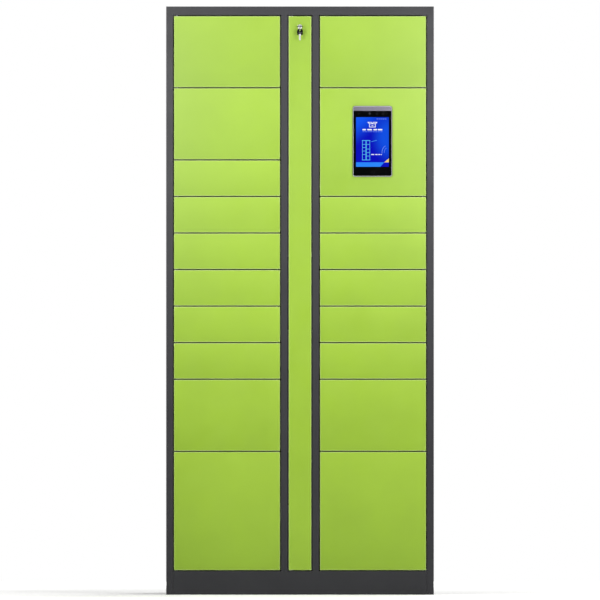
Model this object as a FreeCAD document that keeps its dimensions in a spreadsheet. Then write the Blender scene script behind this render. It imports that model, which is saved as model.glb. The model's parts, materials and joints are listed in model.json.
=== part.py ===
"""A floor-standing steel parcel locker: two columns of hinged doors either side of a service channel.

Frame: +Z up, +X to the right, the doors face -Y. The origin is on the floor, at the centre of the footprint.
All sizes are in millimetres and live in the spreadsheet "dims"; every piece is bound to its cells.
"""
import FreeCAD, Part

import os
import re

import Sketcher
from FreeCAD import Rotation, Vector

DIMENSIONS = [
    # alias, value, what it is
    ("cabinet_width", 910, "outside width over the side panels"),
    ("cabinet_depth", 500, "front of the doors to the back of the side panels"),
    ("cabinet_height", 2000, "floor to the top of the roof"),
    ("sheet", 1.2, "thickness of the cabinet sheet"),
    ("stile_width", 23, "face of a side panel beside the doors"),
    ("stile_cover", 2, "stile's fold behind the doors' folds"),
    ("rear_flange", 18, "fold of a side panel behind the back panel"),
    ("top_rail", 29.5, "height of the roof's front fold"),
    ("kick_height", 80, "height of the kick plate"),
    ("kick_joint", 0.5, "open joint beside the kick plate"),
    ("kick_foot", 30, "depth of the kick plate's fold on the floor"),
    ("gap", 3, "open joint round every door"),
    ("mullion", 22.5, "face between a door and the service cover"),
    ("cover_width", 78, "width of the service cover"),
    ("small_door", 121.3, "height of a small door"),
    ("medium_door", 242.3, "height of a medium door"),
    ("door_sheet", 1.0, "thickness of the door sheet"),
    ("door_depth", 20, "depth of a door's folded edge"),
    ("door_bend", 2.4, "outside radius of a door's folds"),
    ("hinge_setback", 8, "hinge axis behind the door's face"),
    ("swing_clearance", 0.6, "door's front corner clear of the stile as it turns"),
    ("hinge_block_wall", 3.5, "material round the pin in a door's hinge block"),
    ("hinge_block_height", 8, "height of a hinge block"),
    ("ear_thickness", 2, "thickness of a hinge ear"),
    ("ear_web", 3.5, "material round the pin in a hinge ear"),
    ("pin_radius", 2.5, "hinge pin"),
    ("pin_clearance", 0.1, "running clearance round a hinge pin"),
    ("pin_reach", 9, "length of a hinge pin beyond its ear"),
    ("shelf_clearance", 6, "front edge of a shelf behind the doors' folds"),
    ("shelf_strip", 10, "strip welded under a shelf's front edge"),
    ("strip_clearance", 2, "a shelf's strip clear of the lock housings"),
    ("lock_clearance", 4, "front of a lock housing behind the doors' folds"),
    ("lock_side", 3.5, "lock housing beside the strike's slot"),
    ("lock_rear", 16, "lock housing behind the strike's slot"),
    ("lock_foot", 5.7, "lock housing below the bolt's well, and as much above"),
    ("strike_offset", 3.5, "strike tongue in from the door's edge"),
    ("strike_thickness", 2, "strike tongue"),
    ("strike_half_height", 8, "half the height of the strike tongue"),
    ("strike_tip", 6, "strike tongue behind its notch"),
    ("strike_foot_width", 17, "strike's welded foot"),
    ("strike_foot_height", 24, "strike's welded foot"),
    ("notch_inset", 12, "front of the strike's notch inside the lock housing"),
    ("notch_length", 8, "length of the strike's notch"),
    ("notch_depth", 6, "depth of the strike's notch"),
    ("slot_clearance", 1, "room round the strike tongue in the housing's slot"),
    ("slot_swing_room", 3, "extra slot width for the arc of the opening door"),
    ("slot_end_room", 4, "room behind the tip of the strike tongue"),
    ("bolt_thickness", 3, "lock bolt across the strike"),
    ("bolt_height", 16, "lock bolt top to bottom"),
    ("bolt_play", 0.5, "lock bolt clear of either end of the strike's notch"),
    ("bolt_clearance", 0.3, "room round the lock bolt"),
    ("key_height", 69, "key lock below the top of the cabinet"),
    ("bezel_lip", 1, "key lock's front collar beyond its body"),
    ("bezel_edge", 0.5, "bevel of the key lock's front collar"),
    ("bezel_height", 2, "key lock's front collar in front of the cover"),
    ("barrel_wall", 2.2, "wall of the key lock's body round its plug"),
    ("barrel_tail", 2, "key lock's body behind the cover's folds"),
    ("barrel_clearance", 0.1, "room round the key lock in the cover"),
    ("nut_flange", 4.5, "corners of the key lock's fixing nut beyond its body"),
    ("nut_thickness", 3, "key lock's fixing nut"),
    ("plug_radius", 5, "turning plug of the key lock"),
    ("plug_clearance", 0.05, "running clearance round the plug"),
    ("tail_radius", 4, "plug's tail through the cam"),
    ("tail_length", 6, "plug's tail behind the barrel"),
    ("cam_width", 12, "locking cam"),
    ("cam_thickness", 2, "locking cam"),
    ("cam_overlap", 4, "locking cam behind the mullion when it is turned"),
    ("cam_gap", 0.5, "cam behind the barrel"),
    ("blade_width", 7, "key blade"),
    ("blade_thickness", 2, "key blade"),
    ("blade_depth", 20, "key blade inside the plug"),
    ("blade_exposed", 4, "key blade between the lock and the key's bow"),
    ("blade_clearance", 0.2, "room round the key blade in the plug"),
    ("bow_width", 18, "bow of the key in the lock"),
    ("bow_length", 20, "bow of the key in the lock"),
    ("bow_thickness", 2.5, "bow of either key"),
    ("bow_web", 3.2, "material between the bow's hole and its outer end"),
    ("bow_hole_width", 8, "hole in the bow across the key"),
    ("bow_hole_length", 6, "hole in the bow along the key"),
    ("ring_radius", 7.2, "key ring to the middle of its wire"),
    ("ring_wire", 0.75, "radius of the key ring's wire"),
    ("ring_slack", 0.3, "key ring clear of the bows it hangs on"),
    ("spare_bow_radius", 10.5, "bow of the spare key"),
    ("spare_blade_length", 17, "blade of the spare key"),
    ("spare_blade_root", 2.1, "blade of the spare key inside its round bow"),
    ("spare_web", 3, "material above the hole in the spare key"),
    ("spare_hole_radius", 2.2, "hole in the spare key"),
    ("terminal_width", 134, "operator terminal"),
    ("terminal_height", 241, "operator terminal"),
    ("terminal_proud", 6, "terminal in front of its door"),
    ("terminal_shift", 2, "terminal from the middle of its door towards the channel"),
    ("terminal_rise", 2.5, "terminal above the middle of its door"),
    ("terminal_corner", 8, "corner radius of the terminal"),
    ("terminal_rim", 2.5, "terminal's frame beside the glass"),
    ("terminal_band", 16.7, "terminal's band above the glass"),
    ("terminal_flange", 5, "terminal's frame beyond the cut-out in its door"),
    ("terminal_depth", 35, "terminal's body behind the door's face"),
    ("cutout_clearance", 0.5, "room round the terminal's body in its door"),
    ("glass_thickness", 1.6, "terminal's front glass"),
    ("rail_width", 60, "plinth rail"),
    ("rail_thickness", 2, "plinth rail"),
    ("anchor_offset", 150, "floor anchor before and behind the middle"),
    ("anchor_radius", 6.5, "floor anchor hole"),
    ("foot_offset", 200, "levelling foot before and behind the middle"),
    ("foot_radius", 6, "levelling stud"),
    ("foot_length", 60, "levelling stud"),
    ("foot_nut_flange", 5, "corners of the levelling nut beyond its stud"),
    ("foot_nut_thickness", 10, "levelling nut"),
    ("foot_clearance", 0.1, "room round a levelling stud"),
    ("coupling_offset", 180, "side coupling hole before and behind the middle"),
    ("coupling_inset", 150, "side coupling hole from the floor and from the top"),
    ("coupling_radius", 4.25, "side coupling hole"),
    ("wall_hole_offset", 350, "wall fixing hole from the middle"),
    ("wall_hole_top", 100, "upper wall fixing hole below the top"),
    ("wall_hole_spacing", 600, "wall fixing holes one above the other"),
    ("wall_hole_radius", 4.5, "wall fixing hole"),
    ("cable_hole_radius", 16, "cable entry in the back panel"),
    ("cable_hole_height", 130, "cable entry above the floor"),
    ("supply_width", 40, "power supply"),
    ("supply_depth", 110, "power supply"),
    ("supply_height", 180, "power supply"),
    ("supply_bottom", 220, "power supply above the plinth"),
    ("controller_width", 100, "lock controller"),
    ("controller_depth", 36, "lock controller"),
    ("controller_height", 250, "lock controller"),
    ("controller_bottom", 820, "lock controller above the plinth"),
]

ALIASES = {alias for alias, _, _ in DIMENSIONS}

# Doors from the top down. A large door is as high as a small one, a medium one and the joint between them;
# the lowest door of each column takes the height that is left.
DOOR_COLUMNS = {
    "left": ["medium"] * 2 + ["small"] * 6 + ["medium", "rest"],
    "right": ["medium", "large"] + ["small"] * 5 + ["medium", "rest"],
}
DOOR_PARTS = {"small": (1, 0, 0), "medium": (0, 1, 0), "large": (1, 1, 1)}
TERMINAL_DOOR = ("right", 1)
SIDES = {"left": "-1", "right": "1"}

# Places along each axis that several pieces share, as expressions of the sheet's cells.
FRONT = "-cabinet_depth / 2"
BACK = "cabinet_depth / 2"
FRONT_INNER = f"({FRONT} + sheet)"
BACK_INNER = f"({BACK} - 2 * sheet)"
SIDE_OUTER = "(cabinet_width / 2)"
SIDE_INNER = f"({SIDE_OUTER} - sheet)"
STILE_EDGE = f"({SIDE_OUTER} - stile_width)"
COVER_EDGE = "(cover_width / 2)"
MULLION_EDGE = f"({COVER_EDGE} + gap)"
CHANNEL_WALL = f"({MULLION_EDGE} + mullion)"
DOOR_EDGE = f"({CHANNEL_WALL} + gap)"
DOOR_WIDTH = f"({STILE_EDGE} - gap - {DOOR_EDGE})"
ROOF = "(cabinet_height - sheet)"
RAIL_BOTTOM = "(cabinet_height - top_rail)"
DOOR_TOP = f"({RAIL_BOTTOM} - gap)"
DOOR_BOTTOM = "(kick_height + gap)"
KEY_Z = "(cabinet_height - key_height)"
STILE_BACK = f"({FRONT} + door_depth + stile_cover)"
MULLION_BACK = f"({FRONT} + door_depth)"
ANCHOR_X = f"({SIDE_INNER} - rail_width / 2)"

# The hinge axis stands so far in from the door's edge that the turning front corner clears the stile.
SWING_ROOM = "(gap - swing_clearance)"
HINGE_Y = f"({FRONT} + hinge_setback)"
HINGE_INSET = f"((hinge_setback ^ 2 - {SWING_ROOM} ^ 2) / (2 * {SWING_ROOM}))"
PIN_HOLE = "(pin_radius + pin_clearance)"
EAR_RADIUS = "(pin_radius + ear_web)"

# Depths behind the doors' face and, for the lock, sizes that follow from the strike that it holds.
LOCK_SETBACK = "(door_depth + lock_clearance)"
NOTCH_START = f"({LOCK_SETBACK} + notch_inset)"
STRIKE_REACH = f"({NOTCH_START} + notch_length + strike_tip)"
STRIKE_X = "(gap + strike_offset)"
SLOT_DEPTH = f"({STRIKE_REACH} - {LOCK_SETBACK} + slot_end_room)"
LOCK_WIDTH = f"({STRIKE_X} + strike_thickness + 2 * slot_clearance + lock_side)"
LOCK_DEPTH = f"({SLOT_DEPTH} + lock_rear)"
BOLT_TOP = "(strike_half_height + slot_clearance)"
BOLT_X = f"({STRIKE_X} + strike_thickness / 2 - bolt_thickness / 2)"
BOLT_Y = "(notch_inset + bolt_play)"
BOLT_LENGTH = "(notch_length - 2 * bolt_play)"
LOCK_HALF = f"({BOLT_TOP} + bolt_height + bolt_clearance + lock_foot)"

# The key lock, and the keys that hang in front of it.
BARREL_RADIUS = "(plug_radius + plug_clearance + barrel_wall)"
BARREL_LENGTH = "(door_depth + barrel_tail)"
CAM_REACH = f"({MULLION_EDGE} + cam_overlap)"
BOW_BACK = f"({FRONT} - bezel_height - blade_exposed)"
BOW_FRONT = f"({BOW_BACK} - bow_length)"
RING_Y = f"({BOW_FRONT} + bow_web / 2)"
RING_TOP = f"({KEY_Z} + bow_thickness / 2 + ring_slack + ring_wire)"
SPARE_HOLE_TOP = f"({RING_TOP} - 2 * ring_radius + ring_wire + ring_slack)"

doc = FreeCAD.newDocument("parcel_locker")
sheet = doc.addObject("Spreadsheet::Sheet", "dims")
sub_parts = []


def fill_sheet():
    """Write each driving dimension to a row of the sheet: its note, its value and its alias."""
    for row, (alias, value, note) in enumerate(DIMENSIONS, start=1):
        sheet.set(f"A{row}", note)
        sheet.set(f"B{row}", str(value))
        sheet.setAlias(f"B{row}", alias)
    doc.recompute()


def sized(expression):
    """The expression with each dimension's name turned into its cell of the sheet."""
    def cell(word):
        return "dims." + word.group() if word.group() in ALIASES else word.group()
    return re.sub(r"[a-z_]+", cell, str(expression))


def number(expression):
    """The expression's present value."""
    return float(sheet.evalExpression(sized(expression)))


def mirrored(side, low, high):
    """The span from low to high away from the middle, on one side of the cabinet."""
    return (low, high) if side == "right" else (f"-({high})", f"-({low})")


def sub_part(label, *pieces):
    """Name a finished piece, or a group of separate pieces, as one sub-part."""
    part = pieces[0]
    if len(pieces) > 1:
        part = doc.addObject("Part::Compound", "Group_" + label)
        part.Links = list(pieces)
    part.Label = label
    sub_parts.append(part)
    return part


# ---------------------------------------------------------------- Part primitives and booleans

def block(name, x, y, z):
    """A box between a low and a high coordinate on each axis."""
    box = doc.addObject("Part::Box", name)
    for size, place, (low, high) in zip(("Length", "Width", "Height"), "xyz", (x, y, z)):
        box.setExpression(size, sized(f"({high}) - ({low})"))
        box.setExpression("Placement.Base." + place, sized(low))
    return box


TURNED = {
    "x": Rotation(Vector(0, 1, 0), 90),
    "y": Rotation(Vector(1, 0, 0), -90),
    "z": Rotation(),
}


def placed(solid, along, x, y, z):
    """Turn a solid's own Z along an axis and put its base at a point."""
    solid.Placement.Rotation = TURNED[along]
    for place, expression in zip("xyz", (x, y, z)):
        solid.setExpression("Placement.Base." + place, sized(expression))
    return solid


def rod(name, along, x, y, z, radius, length):
    """A cylinder from a point, along an axis."""
    cylinder = doc.addObject("Part::Cylinder", name)
    cylinder.setExpression("Radius", sized(radius))
    cylinder.setExpression("Height", sized(length))
    return placed(cylinder, along, x, y, z)


def hexagon(name, along, x, y, z, radius, length):
    """A hexagonal prism from a point, along an axis."""
    prism = doc.addObject("Part::Prism", name)
    prism.Polygon = 6
    prism.setExpression("Circumradius", sized(radius))
    prism.setExpression("Height", sized(length))
    return placed(prism, along, x, y, z)


def fuse(name, *pieces):
    """Join pieces into one solid."""
    joined = doc.addObject("Part::MultiFuse", name)
    joined.Shapes = list(pieces)
    joined.Refine = True
    return joined


def cut(name, base, *tools):
    """Take the tools away from the base."""
    rest = doc.addObject("Part::Cut", name)
    rest.Base = base
    rest.Tool = tools[0] if len(tools) == 1 else fuse(name + "_tools", *tools)
    rest.Refine = True
    return rest


# ---------------------------------------------------------------- PartDesign bodies

def new_body(name, x="0", y="0", z="0"):
    """An empty body at a place."""
    body = doc.addObject("PartDesign::Body", name)
    for place, expression in zip("xyz", (x, y, z)):
        body.setExpression("Placement.Base." + place, sized(expression))
    return body


def new_sketch(body, role, lift):
    """A sketch on one of the body's origin planes, lifted along the plane's normal."""
    sketch = body.newObject("Sketcher::SketchObject", f"{body.Name}_sketch")
    plane = next(feature for feature in body.Origin.OriginFeatures if feature.Role == role)
    sketch.AttachmentSupport = [(plane, "")]
    sketch.MapMode = "FlatFace"
    sketch.setExpression("AttachmentOffset.Base.z", sized(lift))
    return sketch


def fix_point(sketch, geometry, position, point):
    """Hold one point of a sketch at bound distances from the sketch's origin."""
    for kind, expression in zip(("DistanceX", "DistanceY"), point):
        value = number(expression)
        index = sketch.addConstraint(Sketcher.Constraint(kind, -1, 1, geometry, position, value))
        name = f"{kind}{geometry}"
        sketch.renameConstraint(index, name)
        sketch.setExpression("Constraints." + name, sized(expression))


def add_loop(sketch, points):
    """Add a closed loop of straight lines through the points."""
    first = sketch.GeometryCount
    corners = [Vector(number(u), number(v), 0) for u, v in points]
    for start, end in zip(corners, corners[1:] + corners[:1]):
        sketch.addGeometry(Part.LineSegment(start, end), False)
    for step, point in enumerate(points):
        following = first + (step + 1) % len(points)
        sketch.addConstraint(Sketcher.Constraint("Coincident", first + step, 2, following, 1))
        fix_point(sketch, first + step, 1, point)


def outline(body, role, *loops, lift="0"):
    """A sketch of one or more closed loops of straight lines."""
    sketch = new_sketch(body, role, lift)
    for points in loops:
        add_loop(sketch, points)
    return sketch


def circles(body, role, centres, radius, lift="0"):
    """A sketch of equal circles."""
    sketch = new_sketch(body, role, lift)
    for centre in centres:
        circle = Part.Circle(Vector(number(centre[0]), number(centre[1]), 0), Vector(0, 0, 1), number(radius))
        geometry = sketch.addGeometry(circle, False)
        fix_point(sketch, geometry, 3, centre)
        name = f"Radius{geometry}"
        index = sketch.addConstraint(Sketcher.Constraint("Radius", geometry, number(radius)))
        sketch.renameConstraint(index, name)
        sketch.setExpression("Constraints." + name, sized(radius))
    return sketch


def rectangle(u, v):
    """The corners of a rectangle between two spans."""
    return [(u[0], v[0]), (u[1], v[0]), (u[1], v[1]), (u[0], v[1])]


def pad(body, sketch, length, backwards=False):
    """Add material from a sketch, along its plane's normal or against it."""
    feature = body.newObject("PartDesign::Pad", f"{body.Name}_pad")
    feature.Profile = sketch
    feature.Reversed = backwards
    feature.setExpression("Length", sized(length))
    doc.recompute()
    return feature


def pocket(body, sketch, length, backwards=False):
    """Take material away from a sketch, against its plane's normal unless backwards."""
    before = body.Shape.Volume
    feature = body.newObject("PartDesign::Pocket", f"{body.Name}_pocket")
    feature.Profile = sketch
    feature.Reversed = backwards
    feature.setExpression("Length", sized(length))
    doc.recompute()
    if body.Shape.Volume >= before:
        raise RuntimeError(f"{feature.Name} cuts nothing")
    return feature


def fillet(body, radius, chosen):
    """Round the edges of the body's last feature that the test chooses."""
    base = body.Tip
    edges = [f"Edge{index}" for index, edge in enumerate(base.Shape.Edges, start=1) if chosen(edge)]
    feature = body.newObject("PartDesign::Fillet", f"{body.Name}_fillet")
    feature.Base = (base, edges)
    feature.setExpression("Radius", sized(radius))
    doc.recompute()
    return feature


def at_front(edge):
    """Whether an edge lies in the body's own front plane, Y = 0."""
    return edge.BoundBox.YMin > -1e-6 and edge.BoundBox.YMax < 1e-6


def runs_along(axis):
    """A test for straight edges parallel to an axis."""
    def chosen(edge):
        direction = edge.Vertexes[-1].Point - edge.Vertexes[0].Point
        return direction.Length > 0 and abs(direction.dot(axis)) > direction.Length * (1 - 1e-9)
    return chosen


# ---------------------------------------------------------------- the rows of doors

def door_rows(sizes):
    """The low and high edge of each door of a column, from the top door down."""
    def edge(used):
        return f"({DOOR_TOP} - {used[0]} * small_door - {used[1]} * medium_door - {used[2]} * gap)"

    used = [0, 0, 0]
    rows = []
    for size in sizes[:-1]:
        high = edge(used)
        used = [count + more for count, more in zip(used, DOOR_PARTS[size])]
        rows.append((edge(used), high))
        used[2] += 1
    rows.append((DOOR_BOTTOM, edge(used)))
    return rows


ROWS = {side: door_rows(sizes) for side, sizes in DOOR_COLUMNS.items()}


def seams(side):
    """The height of the middle of each horizontal joint of a column, from the top rail down to the plinth."""
    return [f"({low} - gap / 2)" for low, _ in ROWS[side]]


# ---------------------------------------------------------------- cabinet

def side_panel(side):
    """A side wall with its stile, the stile's fold and the flange that holds the back panel."""
    name = f"side_panel_{side}"
    wall = block(name + "_wall", mirrored(side, SIDE_INNER, SIDE_OUTER), (FRONT_INNER, BACK), ("0", ROOF))
    face = block(name + "_stile", mirrored(side, STILE_EDGE, SIDE_OUTER), (FRONT, FRONT_INNER),
                 ("0", RAIL_BOTTOM))
    fold = block(name + "_fold", mirrored(side, STILE_EDGE, f"{STILE_EDGE} + sheet"),
                 (FRONT_INNER, STILE_BACK), ("0", RAIL_BOTTOM))
    flange = block(name + "_flange", mirrored(side, f"{SIDE_OUTER} - rear_flange", SIDE_INNER),
                   (f"{BACK} - sheet", BACK), ("0", ROOF))
    holes = [
        rod(f"{name}_hole_{y}_{z}", "x", mirrored(side, SIDE_INNER, SIDE_OUTER)[0], f"{y} * coupling_offset",
            height, "coupling_radius", "sheet")
        for y in (-1, 1)
        for z, height in enumerate(("coupling_inset", "cabinet_height - coupling_inset"))
    ]
    panel = fuse(name + "_folded", wall, face, fold, flange)
    sub_part(name, cut(name + "_drilled", panel, *holes))


def top_panel():
    """The roof, whose front edge folds down as the rail above the doors."""
    roof = block("roof", (f"-{SIDE_OUTER}", SIDE_OUTER), (FRONT, BACK), (ROOF, "cabinet_height"))
    rail = block("rail", (f"-{SIDE_OUTER}", SIDE_OUTER), (FRONT, FRONT_INNER), (RAIL_BOTTOM, ROOF))
    sub_part("top_panel", fuse("roof_folded", roof, rail))


def base_panel():
    """The floor of the lowest compartments, narrower in front where it passes between the stiles."""
    body = new_body("base_panel_body", z="kick_height - sheet")
    plan = [
        (f"-{STILE_EDGE}", FRONT_INNER), (STILE_EDGE, FRONT_INNER), (STILE_EDGE, STILE_BACK),
        (SIDE_INNER, STILE_BACK), (SIDE_INNER, BACK_INNER), (f"-{SIDE_INNER}", BACK_INNER),
        (f"-{SIDE_INNER}", STILE_BACK), (f"-{STILE_EDGE}", STILE_BACK),
    ]
    pad(body, outline(body, "XY_Plane", plan), "sheet")
    sub_part("base_panel", body)


def back_panel():
    """The back sheet, with its wall fixing holes and the cable entry."""
    body = new_body("back_panel_body", y=BACK_INNER)
    across = (f"-{SIDE_INNER}", SIDE_INNER)
    pad(body, outline(body, "XZ_Plane", rectangle(across, ("0", ROOF))), "sheet", backwards=True)
    fixings = [
        (f"{side} * wall_hole_offset", f"cabinet_height - wall_hole_top - {row} * wall_hole_spacing")
        for side in (-1, 1)
        for row in (0, 1)
    ]
    pocket(body, circles(body, "XZ_Plane", fixings, "wall_hole_radius"), "sheet")
    pocket(body, circles(body, "XZ_Plane", [("0", "cable_hole_height")], "cable_hole_radius"), "sheet")
    sub_part("back_panel", body)


def channel_wall(side):
    """A wall between the compartments and the service channel, folded in front as the mullion."""
    name = f"channel_wall_{side}"
    wall = block(name + "_wall", mirrored(side, f"{CHANNEL_WALL} - sheet", CHANNEL_WALL),
                 (FRONT_INNER, BACK_INNER), ("kick_height", ROOF))
    face = block(name + "_face", mirrored(side, MULLION_EDGE, CHANNEL_WALL), (FRONT, FRONT_INNER),
                 ("kick_height", RAIL_BOTTOM))
    fold = block(name + "_fold", mirrored(side, MULLION_EDGE, f"{MULLION_EDGE} + sheet"),
                 (FRONT_INNER, MULLION_BACK), ("kick_height", RAIL_BOTTOM))
    sub_part(name, fuse(name + "_folded", wall, face, fold))


def kick_plate():
    """The plate between the stiles at the floor, folded back along its lower edge."""
    across = (f"-({STILE_EDGE} - kick_joint)", f"{STILE_EDGE} - kick_joint")
    face = block("kick_face", across, (FRONT, FRONT_INNER), ("0", "kick_height"))
    foot = block("kick_foot_fold", across, (FRONT_INNER, f"{FRONT} + kick_foot"), ("0", "sheet"))
    sub_part("kick_plate", fuse("kick_folded", face, foot))


def plinth_rail(side):
    """A channel section from front to back under the base panel, with anchor and foot holes."""
    low = "0"
    high = "kick_height - sheet"
    inner = f"{SIDE_INNER} - rail_width"
    sign = SIDES[side]
    body = new_body(f"plinth_rail_{side}", y=f"{FRONT} + kick_foot")
    section = [
        (SIDE_INNER, low), (SIDE_INNER, f"{low} + rail_thickness"),
        (f"{inner} + rail_thickness", f"{low} + rail_thickness"),
        (f"{inner} + rail_thickness", f"{high} - rail_thickness"),
        (SIDE_INNER, f"{high} - rail_thickness"), (SIDE_INNER, high), (inner, high), (inner, low),
    ]
    profile = outline(body, "XZ_Plane", [(f"{sign} * ({x})", z) for x, z in section])
    pad(body, profile, f"{BACK_INNER} - ({FRONT} + kick_foot)", backwards=True)
    across = f"{sign} * {ANCHOR_X}"
    holes = {"anchor_offset": "anchor_radius", "foot_offset": "foot_radius + foot_clearance"}
    for offset, radius in holes.items():
        centres = [(across, f"{end} * {offset} - ({FRONT} + kick_foot)") for end in (-1, 1)]
        pocket(body, circles(body, "XY_Plane", centres, radius), "rail_thickness", backwards=True)
    return body


def levelling_foot(side, end):
    """A levelling stud through the plinth rail and its nut, wound up level with the floor."""
    name = f"foot_{side}_{'front' if end < 0 else 'rear'}"
    at = (f"{SIDES[side]} * {ANCHOR_X}", f"{end} * foot_offset")
    stud = rod(name + "_stud", "z", *at, "0", "foot_radius", "foot_length")
    nut_radius = "foot_radius + foot_nut_flange"
    nut = hexagon(name + "_nut", "z", *at, "rail_thickness", nut_radius, "foot_nut_thickness")
    bore = rod(name + "_bore", "z", *at, "rail_thickness", "foot_radius", "foot_nut_thickness")
    return [stud, cut(name + "_nut_bored", nut, bore)]


def shelf(side, row, height):
    """A compartment floor and the stiffening strip under its front edge, clear of the lock housings."""
    name = f"shelf_{side}_{row:02d}"
    across = mirrored(side, CHANNEL_WALL, SIDE_INNER)
    front = f"{FRONT} + door_depth + shelf_clearance"
    under = f"{height} - sheet / 2"
    plate = block(name + "_plate", across, (front, BACK_INNER), (under, f"{height} + sheet / 2"))
    strip_x = mirrored(side, f"{CHANNEL_WALL} + {LOCK_WIDTH} + strip_clearance", SIDE_INNER)
    strip = block(name + "_strip", strip_x, (front, f"{front} + sheet"), (f"{height} - shelf_strip", under))
    return [plate, strip]


# ---------------------------------------------------------------- hinges and doors

def hinge(name, wall_x, axis_x, height, down, up):
    """An ear on a wall and the pin through it; down and up say which ways the pin reaches."""
    low = f"{height} - ear_thickness / 2"
    arm_x = (axis_x, wall_x) if number(axis_x) < number(wall_x) else (wall_x, axis_x)
    arm = block(name + "_arm", arm_x, (f"{HINGE_Y} - {EAR_RADIUS}", f"{HINGE_Y} + {EAR_RADIUS}"),
                (low, f"{low} + ear_thickness"))
    end = rod(name + "_end", "z", axis_x, HINGE_Y, low, EAR_RADIUS, "ear_thickness")
    hole = rod(name + "_hole", "z", axis_x, HINGE_Y, low, "pin_radius", "ear_thickness")
    pin = rod(name + "_pin", "z", axis_x, HINGE_Y, f"{low} - {down} * pin_reach", "pin_radius",
              f"ear_thickness + {down + up} * pin_reach")
    return cut(name + "_ear", fuse(name + "_plate", arm, end), hole), pin


def folded_pan(name, side, x, z, width, height):
    """A door skin folded back on all four sides, with a bored hinge block in each outer corner.

    The body's own origin is the front lower corner away from the hinge, with Y into the cabinet.
    """
    sign = SIDES[side]

    def across(low, high):
        return f"{sign} * ({low})", f"{sign} * ({high})"

    body = new_body(name, x, FRONT, z)
    face = outline(body, "XZ_Plane", rectangle(across("0", width), ("0", height)))
    pad(body, face, "door_depth", backwards=True)
    fillet(body, "door_bend", at_front)
    inside_x = across("door_sheet", f"{width} - door_sheet")
    inside = rectangle(inside_x, ("door_sheet", f"{height} - door_sheet"))
    hollow = outline(body, "XZ_Plane", inside, lift="-door_sheet")
    pocket(body, hollow, "door_depth - door_sheet")
    block_x = across(f"{width} - {HINGE_INSET} - {PIN_HOLE} - hinge_block_wall", f"{width} - door_sheet")
    lower = rectangle(block_x, ("door_sheet", "door_sheet + hinge_block_height"))
    upper = rectangle(block_x, (f"{height} - door_sheet - hinge_block_height", f"{height} - door_sheet"))
    blocks = outline(body, "XZ_Plane", lower, upper, lift="-door_sheet")
    pad(body, blocks, f"hinge_setback + {PIN_HOLE} + hinge_block_wall - door_sheet", backwards=True)
    axis = (f"{sign} * ({width} - {HINGE_INSET})", "hinge_setback")
    pocket(body, circles(body, "XY_Plane", [axis], PIN_HOLE), height, backwards=True)
    return body


def strike(name, side, x, z):
    """The strike welded inside a door: a notched tongue that runs back into the lock, and its foot."""
    sign = SIDES[side]
    body = new_body(name, x, FRONT, z)
    end = f"{NOTCH_START} + notch_length"
    taper = "strike_thickness"
    half = "strike_half_height"
    tongue = [
        ("door_sheet", f"-{half}"), (NOTCH_START, f"-{half}"), (NOTCH_START, f"notch_depth - {half}"),
        (end, f"notch_depth - {half}"), (end, f"-{half}"), (f"{STRIKE_REACH} - {taper}", f"-{half}"),
        (STRIKE_REACH, f"{taper} - {half}"), (STRIKE_REACH, f"{half} - {taper}"),
        (f"{STRIKE_REACH} - {taper}", half), ("door_sheet", half),
    ]
    profile = outline(body, "YZ_Plane", tongue, lift=f"{sign} * strike_offset")
    pad(body, profile, "strike_thickness", backwards=side == "left")
    foot = rectangle((f"{sign} * strike_offset", f"{sign} * (strike_offset + strike_foot_width)"),
                     ("-strike_foot_height / 2", "strike_foot_height / 2"))
    pad(body, outline(body, "XZ_Plane", foot, lift="-door_sheet"), "strike_thickness", backwards=True)
    return body


def door(side, row):
    """One compartment door: its folded pan and its strike."""
    low, high = ROWS[side][row]
    name = f"door_{side}_{row + 1:02d}"
    x = f"{SIDES[side]} * {DOOR_EDGE}"
    pan = folded_pan(name + "_pan", side, x, low, DOOR_WIDTH, f"({high} - {low})")
    if (side, row) == TERMINAL_DOOR:
        middle = (f"{DOOR_WIDTH} / 2 - terminal_shift", f"({high} - {low}) / 2 + terminal_rise")
        half = [f"(terminal_{size} / 2 - terminal_flange + cutout_clearance)" for size in ("width", "height")]
        opening = rectangle(*[(f"{at} - {reach}", f"{at} + {reach}") for at, reach in zip(middle, half)])
        pocket(pan, outline(pan, "XZ_Plane", opening), "door_sheet")
    sub_part(name, pan, strike(name + "_strike", side, x, f"({low} + {high}) / 2"))


def lock_housing(side, row):
    """An electric lock on the channel wall: a slot for the strike, and a well below it for the bolt."""
    low, high = ROWS[side][row]
    sign = SIDES[side]
    body = new_body(f"lock_{side}_{row + 1:02d}", f"{sign} * {CHANNEL_WALL}", f"{FRONT} + {LOCK_SETBACK}",
                    f"({low} + {high}) / 2")

    def across(start, end):
        return f"{sign} * ({start})", f"{sign} * ({end})"

    case = rectangle(across("0", LOCK_WIDTH), (f"-{LOCK_HALF}", LOCK_HALF))
    pad(body, outline(body, "XZ_Plane", case), LOCK_DEPTH, backwards=True)
    slot_x = across(f"{STRIKE_X} - slot_swing_room", f"{STRIKE_X} + strike_thickness + 2 * slot_clearance")
    slot = rectangle(slot_x, (f"-{BOLT_TOP}", BOLT_TOP))
    pocket(body, outline(body, "XZ_Plane", slot), SLOT_DEPTH)
    well_x = across(f"{BOLT_X} - bolt_clearance", f"{BOLT_X} + bolt_thickness + bolt_clearance")
    well_y = (f"{BOLT_Y} - bolt_clearance", f"{BOLT_Y} + {BOLT_LENGTH} + bolt_clearance")
    well = outline(body, "XY_Plane", rectangle(well_x, well_y), lift=f"-{BOLT_TOP}")
    pocket(body, well, "bolt_height + bolt_clearance")
    return body


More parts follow.
